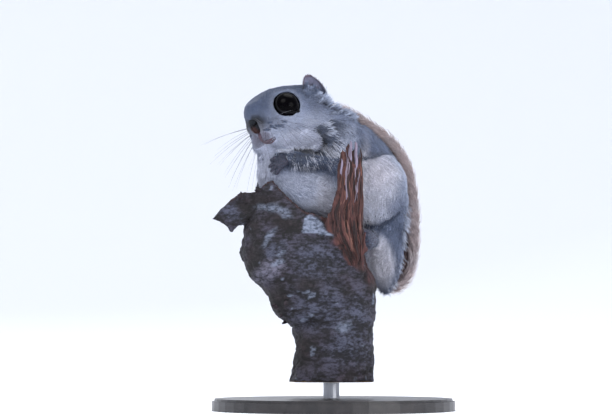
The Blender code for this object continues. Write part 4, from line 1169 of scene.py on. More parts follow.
# Tail: a core up the back, with long hair combed to both sides
tail = {
    "line": (
        (-27.5, 60.5), (-33.5, 62.0), (-38.5, 68.0), (-41.0, 77.0), (-42.2, 87.0), (-42.2, 97.0), (-41.4, 107.0),
        (-39.6, 117.0), (-36.0, 126.0), (-30.5, 133.0), (-24.0, 138.6), (-16.5, 143.6), (-6.5, 149.0),
    ),
    "sunk": 0.8,
    # half width and half thickness: shares of the tail's length, and how wide or thick it is there
    "halfWidth": ((0, 0.18, 0.75, 0.93, 1.0), (0.62, 0.95, 1.0, 0.72, 0.3), 6.5),
    "halfThickness": ((0, 0.15, 0.35, 0.6, 0.8, 1.0), (0.8, 1.0, 1.0, 0.65, 0.5, 0.36), 2.0),
    "hairs": 11500,
    "hairLength": 12.0,
    # how long the hair is at these shares of the tail's length
    "grown": ((0, 0.12, 0.3, 0.7, 1.0), (0.5, 0.75, 1.0, 1.0, 0.7)),
    "hairWidth": 0.28,
    "spread": 40.0,
    "unevenSpread": 7,
    "unevenWay": 0.1,
    "outward": 0.06,
    "onCore": 0.96,
    "seed": 51,
    "tone": 0.14,
    "clumpSize": 3.0,
    "clumpPull": 0.5,
    # how far the side hairs bend towards the back, at these shares of the tail's length
    "droop": ((0, 0.12, 0.25, 0.5, 0.7), (3.0, 6.5, 8.5, 7.0, 4.5)),
    "fuzz": 3.6,
}


def tailFrame(share):
    # centre, way along, width and outward directions at these shares of the tail's length
    line = smoothPath([inBody((forward, 0.0, up)) for forward, up in tail["line"]], 240)
    steps = np.linalg.norm(np.diff(line, axis=0), axis=1)
    at = np.concatenate([[0], np.cumsum(steps)]) / steps.sum()
    place = np.stack([np.interp(share, at, line[:, axis]) for axis in range(3)], -1)
    ways = unit(np.gradient(line, axis=0))
    way = unit(np.stack([np.interp(share, at, ways[:, axis]) for axis in range(3)], -1))
    wide = np.broadcast_to(inBody((0.0, 1.0, 0.0)), way.shape)
    out = unit(np.cross(way, wide))
    return place - out * tail["sunk"], way, wide, out


def tailProfile(share):
    # half width and half thickness: the table's share there times its size
    profiles = (tail["halfWidth"], tail["halfThickness"])
    return [np.interp(share, at, shares) * size for at, shares, size in profiles]


def makeTail():
    # flat oval rings carried up the tail's line, then hairs rooted all over them
    share = np.linspace(0.0, 0.985, 70)
    place, _, wide, out = tailFrame(share)
    width, thickness = tailProfile(share)
    turns = 2 * np.pi * np.arange(28) / 28
    loops = place[:, None] + wide[:, None] * (np.cos(turns) * width[:, None])[..., None]
    loops = loops + out[:, None] * (np.sin(turns) * thickness[:, None])[..., None]
    core = meshObject("tailCore", *loopSurface(loops, place[0], place[-1]))
    setColours(core.data, "coatColour", np.tile(coatColours["tail"][0], (len(core.data.vertices), 1)))
    tailNodes = ("tail_base", "tail_middle", "tail_tip")
    finishPiece(core, coatMaterial("tailSkinFur", 1800.0), "tail_fur", *tailNodes)

    count = tail["hairs"]
    share = ((np.arange(count) + draw.random(count)) / count)[draw.permutation(count)]
    turn = np.arcsin(np.clip(draw.normal(0.2, 0.55, count), -0.95, 0.99))
    side = np.where(draw.random(count) < 0.5, 1.0, -1.0)
    place, way, wide, out = tailFrame(share)
    width, thickness = tailProfile(share)
    sideways = np.cos(turn) * side
    level = tail["onCore"]
    root = place + wide * (sideways * width * level)[:, None]
    root = root + out * (np.sin(turn) * thickness * level)[:, None]
    normal = unit(wide * (sideways / width)[:, None] + out * (np.sin(turn) / thickness)[:, None])
    spread = tail["spread"] * np.abs(sideways) ** 0.7 + draw.normal(0, tail["unevenSpread"], count)
    spread = np.radians(spread)
    lie = way * np.cos(spread)[:, None] + wide * (side * np.sin(spread))[:, None]
    lie = unit(lie + tail["unevenWay"] * draw.standard_normal((count, 3)) + tail["outward"] * out)
    length = tail["hairLength"] * np.interp(share, *tail["grown"]) * (0.75 + 0.4 * draw.random(count))
    droop = np.interp(share, *tail["droop"]) * np.abs(sideways) * (length / tail["hairLength"]) ** 2
    straight = lie * length[:, None]
    offsets = clumped(root, straight, tail["clumpSize"], tail["clumpPull"] * draw.random(count))
    tone = (1 + tail["tone"] * draw.standard_normal(count))[:, None]
    fleck = ramp(valueNoise(root, 4.0, tail["seed"]), 0.1, 0.7)
    pale = (0.75 * ramp(np.abs(sideways), 0.55, 0.95) + 0.3 * fleck)[:, None]
    ends = zip(coatColours["tail"], coatColours["paleTail"])
    rootColours, tipColours = (blended(brown, light, pale) * tone for brown, light in ends)
    hairs = {
        "ways": lie,
        "lengths": length,
        "widths": tail["hairWidth"] * (0.7 + 0.6 * draw.random(count)),
        "heights": 0.5 + tail["fuzz"] * draw.random(count) ** 2,
        "leans": -out * droop[:, None] + offsets - straight,
        "rootColours": rootColours,
        "tipColours": tipColours,
    }
    uv = np.stack([share, 0.5 + 0.45 * sideways * np.sign(turn)], 1)
    roots = {"points": root, "normals": normal, "uv": uv}
    for number, chosen in enumerate(np.array_split(np.argsort(share), 2)):
        name = f"tailHair{number + 1}"
        growCoat(name, chosenOf(roots, chosen), chosenOf(hairs, chosen), longStations, "tail_fur")


print("stage: tail")
makeTail()


# Eyes and lids

def eyeMaterial():
    # near black, with a small wet gleam
    paint = Paint("eyeGloss")
    cloud = paint.noise(500.0, 3.0)
    colour = paint.shades(cloud, (0, 0, 1), (5, 4, 6))
    return paint.finish(colour, 0.1 + cloud * 0.05, Specular_IOR_Level=0.03)


def lidMaterial():
    # near black skin, wrinkled and a little wet
    paint = Paint("lidSkin")
    wrinkle = paint.noise(2200.0, 4.0)
    colour = paint.shades(wrinkle, (2, 2, 3), (9, 9, 12))
    return paint.finish(colour, 0.5 + wrinkle * 0.2, wrinkle, 0.0002, 0.5, Specular_IOR_Level=0.15)


def overEye(centre, axis, spots):
    # how far along the eye's axis the higher of the ball and the skin is, at spots beside its centre
    reach = np.linalg.norm(spots - centre, axis=-1)
    high = np.sqrt(np.maximum(eyes["radius"] ** 2 - reach**2, 0)) - 9 * (reach > eyes["radius"])
    hits = [castFrom(skinTree, spot + axis * 16, -axis)[0] for spot in spots.reshape(-1, 3)]
    skinHigh = np.array([-9.0 if hit is None else (hit - centre) @ axis for hit in hits])
    return np.maximum(high, skinHigh.reshape(reach.shape))


def makeEye(side, word):
    # the ball is a latitude grid about the eye's axis
    centre, axis, back, above = eyeFrame(side)
    ball = ballShell(centre, (eyes["radius"],) * 3, np.array([axis, back, above]), 48, 64)
    finishPiece(meshObject("eyeball_" + word, *ball), eyeMaterial(), "eye", "eye_" + word)

    # the lid is a closed roll round the opening, laid over the ball and the skin, thickest in the middle
    turns = 2 * np.pi * np.arange(120) / 120
    out = np.cos(turns)[:, None] * back + np.sin(turns)[:, None] * above
    share = np.linspace(-1, 1, 8)
    corner = ramp(np.cos(turns), 0.8, 1.0)
    steps = share[:, None] * (eyes["lid"] + eyes["lidCorner"] * corner) - eyes["lidInward"]
    spots = centre + out * (eyeEdge(turns) + steps)[..., None]
    high = overEye(centre, axis, spots)
    high = sum(np.roll(high, shift, axis=1) for shift in range(-2, 3)) / 5
    thick = eyes["lidThickness"] * (1 - share**2)[:, None] + 0.03
    top = spots + axis * (high + thick)[..., None]
    under = spots + axis * (high - eyes["lidDepth"])[..., None]
    loops = np.concatenate([top, under[::-1]])
    here, beside = ringSteps(*loops.shape[:2])
    points = loops.reshape(-1, 3)
    ahead = ((index + loops.shape[1]) % len(points) for index in (beside, here))
    quads = facedOut(points, np.stack([here, beside, *ahead], 1))
    finishPiece(meshObject("lids_" + word, points, quads), lidMaterial(), "bare_skin")


print("stage: eyes")
for side, word in ((1, "left"), (-1, "right")):
    makeEye(side, word)


# Nose, mouth and whiskers
nose = {"place": (23.4, 0.0, -1.3), "radii": (3.1, 3.9, 4.6), "cleft": 0.12, "pit": 0.34, "top": 0.05}


def makeNose():
    # an oval whose radius drops along the middle cleft and in two comma-shaped nostrils
    points, triangles = ballShell(np.zeros(3), (1, 1, 1), np.eye(3), 72, 96)
    forward, left, up = points.T
    cleft = bell(left, 0.09) * ramp(forward, -0.2, 0.4) * ramp(-up, -0.35, 0.3)
    pits = np.zeros(len(points))
    for side in (1, -1):
        for share in np.linspace(0, 1, 7):
            bow = 0.2 * share - 0.35 * share * (1 - share) - 0.12
            pit = unit(np.array([0.86 - 0.42 * share, side * (0.36 + 0.46 * share), bow]))
            away = np.linalg.norm(points - pit, axis=1)
            pits = np.maximum(pits, bell(away, 0.16 - 0.05 * share))
    grain = 0.012 * valueNoise(points, 0.09, 61) + 0.03 * valueNoise(points, 0.35, 62)
    radius = 1 + grain - nose["cleft"] * cleft - nose["pit"] * pits + nose["top"] * ramp(up, 0.2, 0.9)
    shaped = points * radius[:, None] * np.array(nose["radii"])
    piece = meshObject("noseLeather", inHead(nose["place"]) + shaped @ headAxes, triangles)
    # the nostrils and the middle cleft, which take painted shade
    setValues(piece.data, "pit", np.clip(pits + 0.6 * cleft, 0, 1))
    setValues(piece.data, "low", ramp(-up, 0.0, 0.6) * (1 - ramp(np.abs(left), 0.3, 0.85)))
    paint = Paint("noseLeather")
    pebbles = paint.make.node("TexVoronoi", {"Vector": paint.place, "Scale": 3800.0})
    cloud = paint.noise(900.0)
    dark = paint.shades(cloud, (6, 9, 13), (24, 28, 35))
    red = paint.shades(cloud, (32, 16, 14), (60, 33, 29))
    colour = paint.mix(paint.value("low"), dark, red)
    # painted shade: nostrils and cleft darkened to near black
    colour = paint.mix(paint.value("pit"), colour, linear(8, 5, 7))
    leather = paint.finish(colour, 0.5 + cloud * 0.2, pebbles, 0.00015, 0.5, Specular_IOR_Level=0.15)
    finishPiece(piece, leather, "nose_skin", "nose")


def makeLips():
    # two soft rolls each side of the mouth line, thick in the middle of their length and thin at its ends
    shells, reds = [], []
    for side in (1, -1):
        path = mouthPaths[side]
        normals = np.array([nearestOn(skinTree, point)[1] for point in path])
        along = unit(np.gradient(path, axis=0))
        over = unit(np.cross(along, normals)) * side
        share = np.linspace(0, 1, len(path))
        swell = np.clip(np.sin(np.pi * np.clip(share * 0.86 + 0.12, 0, 1)), 0.15, 1) ** 0.6
        for shift, thick, sunk, red in mouth["rolls"]:
            radii = thick * mouth["fullness"][side] * swell
            shells.append(pathTube(path + over * shift - normals * sunk, radii, 12, (0, 0, 1), 0.9))
            reds.append(np.full(len(shells[-1][0]), red))
    piece = meshObject("lips", *joinShells(shells))
    setValues(piece.data, "line", np.concatenate(reds))
    paint = Paint("lipSkin")
    cloud = paint.noise(1400.0, 4.0)
    colour = paint.shades(cloud.within(0.3, 0.7), (46, 30, 40), (82, 58, 72))
    # the line between the lips: dark red, partly painted shade in the mouth's crease
    colour = paint.mix(paint.value("line"), colour, paint.shades(cloud, (22, 9, 12), (42, 20, 25)))
    finishPiece(piece, paint.finish(colour, 0.5 + cloud * 0.2, cloud, 0.0002, 0.5), "bare_skin")


whiskers = {
    "rows": 4,
    "perRow": 5,
    "length": 31.0,
    "radius": 0.0992,
    "thinned": 0.86,
    "stray": 0.07,
    "sag": (-0.12, 0.1, -0.2),
    "sagShare": 0.6,
    "rootDepth": 0.8,
    "seed": 71,
}


def makeWhiskers():
    # fine tapered tubes that fan out from the side of the muzzle and droop a little
    shells = []
    fan = np.random.default_rng(whiskers["seed"])
    for side in (1, -1):
        for row in range(whiskers["rows"]):
            for column in range(whiskers["perRow"]):
                back = 20.5 - 1.5 * column
                way = np.array([11 - 2.2 * column, side * (7 + 1.6 * column), 0.4 - 2.1 * row])
                root = castFrom(skinTree, inHead((back - 6, 0, -2.0)), way @ headAxes)[0]
                drop = 0.3 * row + 0.07 * column
                aim = np.array([0.8 - 0.2 * column, side * (0.7 + 0.09 * column), 0.16 - drop])
                aim = unit(aim + fan.normal(0, whiskers["stray"], 3)) @ headAxes
                length = whiskers["length"] * (0.72 + 0.1 * column) * fan.uniform(0.85, 1.1)
                at = np.linspace(0, 1, 15)[:, None]
                sag = np.array(whiskers["sag"]) * np.array([1, side, 1]) @ headAxes
                line = root - aim * whiskers["rootDepth"] + aim * length * at
                line = line + sag * length * at**2 * whiskers["sagShare"]
                shells.append(pathTube(line, whiskers["radius"] * (1 - whiskers["thinned"] * at[:, 0]), 5))
    piece = meshObject("whiskers", *joinShells(shells))
    paint = Paint("whiskerHair")
    colour = paint.shades(paint.noise(160.0), (34, 34, 42), (104, 104, 118))
    finishPiece(piece, paint.finish(colour, 0.4), "grey_fur")


print("stage: nose and mouth")
makeNose()
makeLips()
makeWhiskers()


# Ears
ears = {
    "place": (-8.2, 10.8, 6.0),
    "up": {1: (0.0, 0.3, 0.93), -1: (-0.5, -0.45, 0.8)},
    "open": (0.5, 0.86, 0.0),
    "height": 11.4,
    "root": 1.5,
    "width": 13.0,
    "cup": 3.0,
    "lean": 2.6,
    "thickness": 0.8,
    # heights of the raised edge and the fold inside, depth of the slit, and how far the tip leans back
    "rim": 0.45,
    "fold": 0.6,
    "slit": 1.3,
    "back": 1.6,
    "hairsPerArea": 7.0,
    # share of the hairs kept inside the cup, and their lengths, at shares of the ear's height
    "inside": ((0, 0.35, 0.9), (0.9, 0.25, 0.15)),
    "hairLength": ((0, 0.5, 1), (2.6, 1.6, 0.8)),
    "hairWidth": (0.12, 0.2),
    "hairHeight": (0.25, 0.6),
    "hairTip": (132, 112, 126),
}


def earFrame(side):
    # root of the ear, the way up it and the way that it faces
    mirror = np.array([1, side, 1])
    up = unit(np.array(ears["up"][side], float)) @ headAxes
    return inHead(np.array(ears["place"]) * mirror), up, np.array(ears["open"]) * mirror @ headAxes


def earSheet(side, share, high, offset):
    # leaf outline: half width (1 - 0.985 h^2)^0.55, its tip leaning forward with h^2;
    # the edges curl forward as the square of the share across
    root, up, facing = earFrame(side)
    facing = unit(facing - up * (facing @ up))
    wide = np.cross(facing, up)
    half = 0.5 * ears["width"] * (1 - 0.985 * high**2) ** 0.55
    curl = ears["cup"] * ((2 * half * share / ears["width"]) ** 2 - 0.5)
    rim = 0.5 * bell(1 - np.abs(share), 0.12) + 0.5 * bell(1 - high, 0.08)
    fold = ears["fold"] * bell(share + 0.3, 0.16) * (1 - ramp(high, 0.3, 0.75))
    slit = ears["slit"] * bell(share - 0.05, 0.2) * (1 - ramp(high, 0.25, 0.75))
    thick = ears["thickness"] * (1 - 0.45 * high) * offset
    depth = curl - ears["back"] * high**2 + ears["rim"] * rim + fold - slit + thick
    place = root + up * (ears["height"] * high - ears["root"])[..., None]
    shift = half * share * (1 - 0.12 * share**2) + side * ears["lean"] * high**2
    return place + wide * shift[..., None] + facing * depth[..., None]


def shortHair(name, found, ways, lengths, kind, rootColours, tipColours):
    # straight short hairs; kind holds the range of their widths and heights
    count = len(ways)
    hairs = {
        "ways": ways,
        "lengths": lengths * draw.uniform(0.75, 1.2, count),
        "widths": draw.uniform(*kind["hairWidth"], count),
        "heights": draw.uniform(*kind["hairHeight"], count),
        "leans": np.zeros((count, 3)),
        "rootColours": rootColours,
        "tipColours": tipColours,
    }
    growCoat(name, found, hairs, shortStations, "grey_fur")


def makeEar(side, word):
    # front and back faces on one grid of shares across and up, joined round the rim
    rows, columns = 36, 41
    high = np.sin(0.5 * np.pi * np.linspace(0, 1, rows))[:, None] * np.ones(columns)
    share = np.linspace(-1, 1, columns)[None] * np.ones((rows, 1))
    front, back = earSheet(side, share, high, 0.5), earSheet(side, share, high, -0.5)
    index = np.arange(rows * columns).reshape(rows, columns)
    a, b, c, d = index[:-1, :-1], index[:-1, 1:], index[1:, 1:], index[1:, :-1]
    face = np.stack([a, b, c, d], -1).reshape(-1, 4)
    rim = np.concatenate([index[0], index[1:, -1], index[-1, -2::-1], index[-2:0:-1, 0]])
    after = np.roll(rim, -1)
    shift = rows * columns
    wall = np.stack([rim, rim + shift, after + shift, after], 1)
    quads = np.concatenate([face, face[:, ::-1] + shift, wall])
    points = np.concatenate([front.reshape(-1, 3), back.reshape(-1, 3)])
    piece = unwrapped(meshObject("earCup_" + word, points, facedOut(points, quads)))
    inner = np.concatenate([np.ones(shift), np.zeros(shift)])
    share, high = np.tile(share.ravel(), 2), np.tile(high.ravel(), 2)
    # painted shade: the hollow low in the middle of the cup, darkened on its front face
    hollowShade = bell(share - 0.05, 0.34) * (1 - ramp(high, 0.3, 0.8))
    setValues(piece.data, "inner", inner * hollowShade)
    edge = np.maximum(ramp(np.abs(share), 0.72, 0.98), ramp(high, 0.86, 0.99))
    setValues(piece.data, "edge", edge)
    paint = Paint("earSkin_" + word)
    cloud = paint.noise(900.0, 4.0)
    colour = paint.shades(cloud, (64, 66, 84), (106, 106, 128))
    # painted shade darkens the hollow inside the cup
    colour = paint.mix(paint.value("inner"), colour, paint.shades(cloud, (12, 9, 14), (36, 28, 36)))
    rosy = paint.shades(cloud, (46, 30, 40), (86, 62, 76))
    colour = paint.mix(paint.value("edge") * 0.85, colour, rosy)
    material = paint.finish(colour, 0.6 + cloud * 0.2, cloud, 0.0002, 0.4)
    finishPiece(piece, material, "bare_skin", "ear_" + word)

    # short hair up both faces, thinner inside the cup
    root, up, facing = earFrame(side)
    found = sampleRoots(piece, lambda places: np.full(len(places), ears["hairsPerArea"]), draw)
    level = (found["points"] - root) @ up / ears["height"]
    outer = found["normals"] @ facing < 0
    kept = outer | (draw.random(len(level)) < np.interp(level, *ears["inside"]))
    found, level = chosenOf(found, kept), level[kept]
    way = unit(across(up + 0.25 * draw.standard_normal((len(level), 3)), found["normals"]))
    tone = tones(len(level))
    slateRoot, slateTip = coatColours["slate"]
    tip = blended(slateTip, linear(*ears["hairTip"]), ramp(level[:, None], 0.3, 0.9))
    lengths = np.interp(level, *ears["hairLength"])
    shortHair("earHair_" + word, found, way, lengths, ears, slateRoot * tone, tip * tone)


print("stage: ears")
for side, word in ((1, "left"), (-1, "right")):
    makeEar(side, word)


# Hands and feet: palm, digits and pads built in place of the CAD shapes, one piece each, with claws of their own
paws = {
    "wrists": {
        "hand_left": ((29.5, 16.5, 122.5), (0.72, -0.55, -0.42), (0.35, 0.75, 0.2)),
        "hand_right": ((28.0, -13.0, 118.0), (0.8, 0.15, -0.5), (0.5, -0.2, 0.85)),
        "foot_left": ((-15.0, 19.0, 84.0), (0.65, 0.75, -0.1), (-0.75, 0.65, 0.1)),
        "foot_right": ((-15.0, -19.0, 84.0), (0.65, -0.75, -0.1), (-0.75, -0.65, 0.1)),
    },
    "hand": {
        "size": (4.2, 3.2, 2.4), "digits": 4, "length": 5.5, "radius": 0.95, "bend": 0.45,
        "hairLength": 1.7, "tips": ("dark", "dark"),
    },
    "foot": {
        "size": (6.0, 4.0, 2.8), "digits": 5, "length": 7.0, "radius": 1.15, "bend": 0.5,
        "hairLength": 2.6, "tips": ("slate", "pale"),
    },
    # palm pads: forward, across and down, as shares of the palm; and the radii of pads on palm and digits
    "pads": ((0.9, 0.45, -0.78), (0.9, -0.45, -0.78), (0.35, 0.0, -0.8)),
    "padRadii": (1.2, 1.0, 0.7),
    "digitPad": (1.15, 0.8, 0.6),
    "claw": 2.4,
    "hook": 0.75,
    "hairsPerArea": 7.0,
    "hairWidth": (0.16, 0.26),
    "hairHeight": (0.25, 0.55),
}


def makePaw(name):
    # palm: an oval; digits: tubes along a bent line with a knuckle swelling; pads: small ovals under them;
    # claws: hooked cones
    wrist, forward, up = paws["wrists"][name]
    kind = paws[name.split("_")[0]]
    wrist, forward = inBody(wrist), unit(inBody(forward))
    beside = unit(np.cross(inBody(up), forward))
    up = np.cross(forward, beside)
    axes = np.array([forward, beside, up])
    size = kind["size"]
    shells = [ballShell(wrist + forward * size[0] * 0.8, np.array(size) * 0.97, axes, 20, 30)]
    claws = []
    for index in range(kind["digits"]):
        share = 2 * index / (kind["digits"] - 1) - 1
        root = wrist + forward * size[0] * (1.35 - 0.25 * share**2) + beside * share * size[1] * 0.78
        way = unit(forward + beside * share * 0.28)
        reach = kind["length"] * (1 - 0.16 * share**2)
        at = np.linspace(-0.15, 1.0, 22)
        sunk = reach * kind["bend"] * np.maximum(at, 0) ** 2
        line = root + way * (reach * at)[:, None] - up * sunk[:, None]
        swell = 0.94 + 0.1 * np.cos(at * 2 * np.pi * 2.2) - 0.22 * at**3
        shells.append(pathTube(line, kind["radius"] * swell, 14, up))
        pad = line[-4] - up * kind["radius"] * 0.45
        shells.append(ballShell(pad, np.array(paws["digitPad"]) * kind["radius"], axes, 8, 12))
        end = unit(way - up * 2 * kind["bend"])
        at = np.linspace(0, 1, 14)
        hook = line[-1] + end * (paws["claw"] * at)[:, None] + up * (0.25 - paws["hook"] * at**2)[:, None]
        radii = kind["radius"] * 0.42 * (1 - at) ** 0.7 + 0.03
        claws.append(pathTube(hook - end * 0.5, radii, 10, beside, 0.6))
    for pad in paws["pads"]:
        centre = wrist + (np.array(pad) + (0.5, 0, 0)) * size @ axes
        shells.append(ballShell(centre, paws["padRadii"], axes, 8, 12))
    piece = unwrapped(meshObject(name + "Skin", *joinShells(shells)))
    paint = Paint("pawSkin_" + name)
    wrinkle = paint.noise(1300.0, 5.0)
    fine = paint.noise(3200.0, 2.0)
    colour = paint.shades(wrinkle.within(0.3, 0.7), (36, 32, 42), (80, 72, 88))
    material = paint.finish(colour, 0.6 + fine * 0.2, wrinkle + fine * 0.5, 0.0003, 0.5)
    finishPiece(piece, material, "bare_skin", name)
    horn = Paint("clawHorn_" + name)
    streak = horn.noise(2400.0)
    clawPiece = meshObject(name + "Claws", *joinShells(claws))
    colour = horn.shades(streak, (30, 24, 24), (84, 70, 66))
    finishPiece(clawPiece, horn.finish(colour, 0.28 + streak * 0.1), "bare_skin")

    # short hair over the backs of the palm and digits
    found = sampleRoots(piece, lambda places: np.full(len(places), paws["hairsPerArea"]), draw)
    found = chosenOf(found, found["normals"] @ up > -0.15)
    share = np.clip((found["points"] - wrist) @ forward / (size[0] + kind["length"]), 0, 1)
    tone = tones(len(share))
    way = unit(across(forward + 0.2 * draw.standard_normal((len(share), 3)), found["normals"]))
    far, near = (coatColours[tip][1] for tip in kind["tips"])
    tip = blended(far, near, 1 - share[:, None]) * tone
    lengths = kind["hairLength"] * (1.1 - 0.6 * share)
    shortHair(name + "Hair", found, way, lengths, paws, coatColours["dark"][0] * tone, tip)


print("stage: paws")
for name in paws["wrists"]:
    makePaw(name)


# Branch stub
perch = {
    "voxel": 0.68,
    "patchCrust": 0.7,
    "top": ((-48, -38, -33, -26, -16, 0, 16), (106, 108.5, 112, 107, 97, 92, 87)),
    # patches on the front, laid out as the markings are
    # each patch: what, across, up, half width, half height, tilt, softness
    "patches": (
        ("crust", -30.5, 100.6, 6.6, 2.0, -6, 0.7), ("crust", -24.5, 98.3, 4.0, 1.8, -28, 0.5),
        ("crust", -32.0, 86.0, 1.4, 5.4, -40, 0.5), ("mauve", -31.5, 69.5, 7.5, 4.4, 26, 0.4),
        ("crust", -28.0, 73.0, 3.4, 1.2, 30, 0.5), ("crust", 5.5, 41.5, 4.2, 2.6, 10, 0.4),
        ("crust", -26, 77.5, 2.0, 1.0, 20, 0.6), ("slate", -30, 79.5, 7.0, 5.5, 20, 0.5),
        ("slate", -8, 74, 11, 9, -20, 0.7), ("slate", -6, 50, 14, 12, 0, 0.8),
        ("slate", 6, 32, 10, 9, 0, 0.8), ("slate", -51, 99, 7.0, 4.2, -36, 0.5),
        ("umber", -39.0, 77.0, 5.0, 9.0, 0, 0.6), ("umber", -28.5, 54.5, 7.5, 7.0, -30, 0.6),
        ("umber", -12.5, 61, 6, 5, 0, 0.8), ("umber", -40, 91, 4, 5, 0, 0.7),
        ("umber", -20, 92, 5, 3, -20, 0.7), ("umber", -16, 30, 6, 9, 0, 0.7),
        ("slate", 12, 44, 5, 16, 0, 0.8), ("umber", 16.5, 72, 4.0, 14, 10, 0.5),
        ("rust", 17.0, 73.5, 3.0, 11.0, 8, 0.5), ("rust", 3, 84, 3.2, 3.0, 0, 0.6),
        ("umber", -36, 104, 8, 4.5, -10, 0.7), ("umber", -25, 94.5, 8, 5, -20, 0.7),
        ("umber", -44, 101, 4, 5, 0, 0.7),
    ),
    # places where the surface is drawn out or in: across, up, half width, half height, tilt, amount, softness
    "bulges": (
        (-40, 66, 8, 8.5, 0, 1.8, 0.6), (-30, 51, 8, 7, 0, 1.9, 0.6), (-46, 82.5, 5, 4.5, 0, -1.5, 0.6),
        (-22, 29, 4, 11, 0, -1.8, 0.6), (-39.5, 110.5, 4.0, 2.5, 20, -1.4, 0.6),
        (-20, 40.5, 5, 4, 0, 1.5, 0.6), (16.5, 72, 4.5, 13, 10, 2.2, 0.5),
    ),
    "triangle": ((-11.9, 99.4), (0.4, 86.4), (-15.9, 88.6)),
    # left edge of the red wood on the front, from the top down
    "woodEdge": ((58, 70, 73, 86, 96, 104, 130), (14.0, 11.5, 7.7, 0.2, -5.7, 0.5, 1.0)),
    # pale strips high on the splinter: across, bottom, top, half width
    "strips": (
        (7.9, 119.0, 129.6, 0.85), (10.6, 115.5, 128.8, 0.8), (3.6, 112.0, 121.0, 0.6), (12.2, 108.0, 116.0, 0.5),
    ),
    # how far the surface moves for plates and cracks in bark, ridges and splits in torn wood, and crust
    "plate": 0.85,
    "crack": 0.5,
    "ridge": 0.7,
    "split": 0.7,
    "crust": 0.35,
    "fibres": 190,
    "shards": 18,
    "seed": 131,
}
patchKinds = ("crust", "slate", "umber", "rust", "mauve")
# looks of the bark and wood: the noise that shades each, from which to which of its values, dark and pale
barkLooks = {
    "bark": ("tone", 0.43, 0.6, (9, 7, 9), (58, 55, 68)),
    "brown": ("tone", 0.4, 0.62, (18, 12, 15), (50, 38, 44)),
    "slate": ("tone", 0.42, 0.6, (18, 18, 25), (74, 78, 96)),
    "umber": ("tone", 0.42, 0.62, (8, 6, 8), (36, 27, 27)),
    "mauve": ("tone", 0.4, 0.58, (36, 35, 44), (102, 100, 116)),
    "rust": ("grain", 0.3, 0.7, (30, 16, 20), (88, 52, 54)),
    "wood": ("grain", 0.3, 0.7, (36, 18, 18), (84, 50, 46)),
    "rim": ("grain", 0.3, 0.7, (18, 11, 13), (60, 37, 38)),
    "crust": ("mottle", 0.36, 0.6, (58, 64, 78), (116, 124, 142)),
    "sawn": ("rings", 0.35, 0.65, (120, 92, 70), (176, 146, 116)),
}
splinters = {
    # edges of the red wood on the front at these levels, and the colours of its fibres
    "levels": (58, 66, 73, 80, 86, 95, 102, 110, 118.5, 130),
    "lefts": (10, 10, 7.7, 4, 0.8, -0.6, 1.7, 1.6, 2.2, 3.0),
    "rights": (12, 13.5, 14, 14.5, 14.2, 13.8, 13.8, 13.6, 13.4, 12.6),
    "reds": ((44, 22, 22), (82, 48, 44), (112, 76, 66)),
    "redShares": (0.4, 0.42, 0.18),
    "pale": (132, 122, 136),
    # shares across between which the fibres above this level are pale
    "paleBands": ((0.3, 0.44), (0.66, 0.8)),
    "paleAbove": 98,
    "strip": (136, 128, 148),
    "stripWidths": (0.25, 0.6, 0.9, 1, 1, 0.95, 1, 0.9, 0.75, 0.5, 0.2),
    "shard": (52, 42, 50),
    # where shards stand, across and up: the first under the belly of the bark, the others on its flap
    "shardsLow": ((-34, -22), (42, 57)),
    "shardsHigh": ((-46, -30), (101, 110)),
    "shareLow": 0.4,
}


def cornersShare(seen, corners):
    # 1 inside a triangle, 0 outside, soft over half a millimetre
    share = np.ones(len(seen))
    for here, after in zip(corners, corners[1:] + corners[:1]):
        along = unit(np.array(after) - np.array(here))
        share = np.minimum(share, ramp((seen - here) @ np.array([along[1], -along[0]]), -0.3, 0.3))
    return share


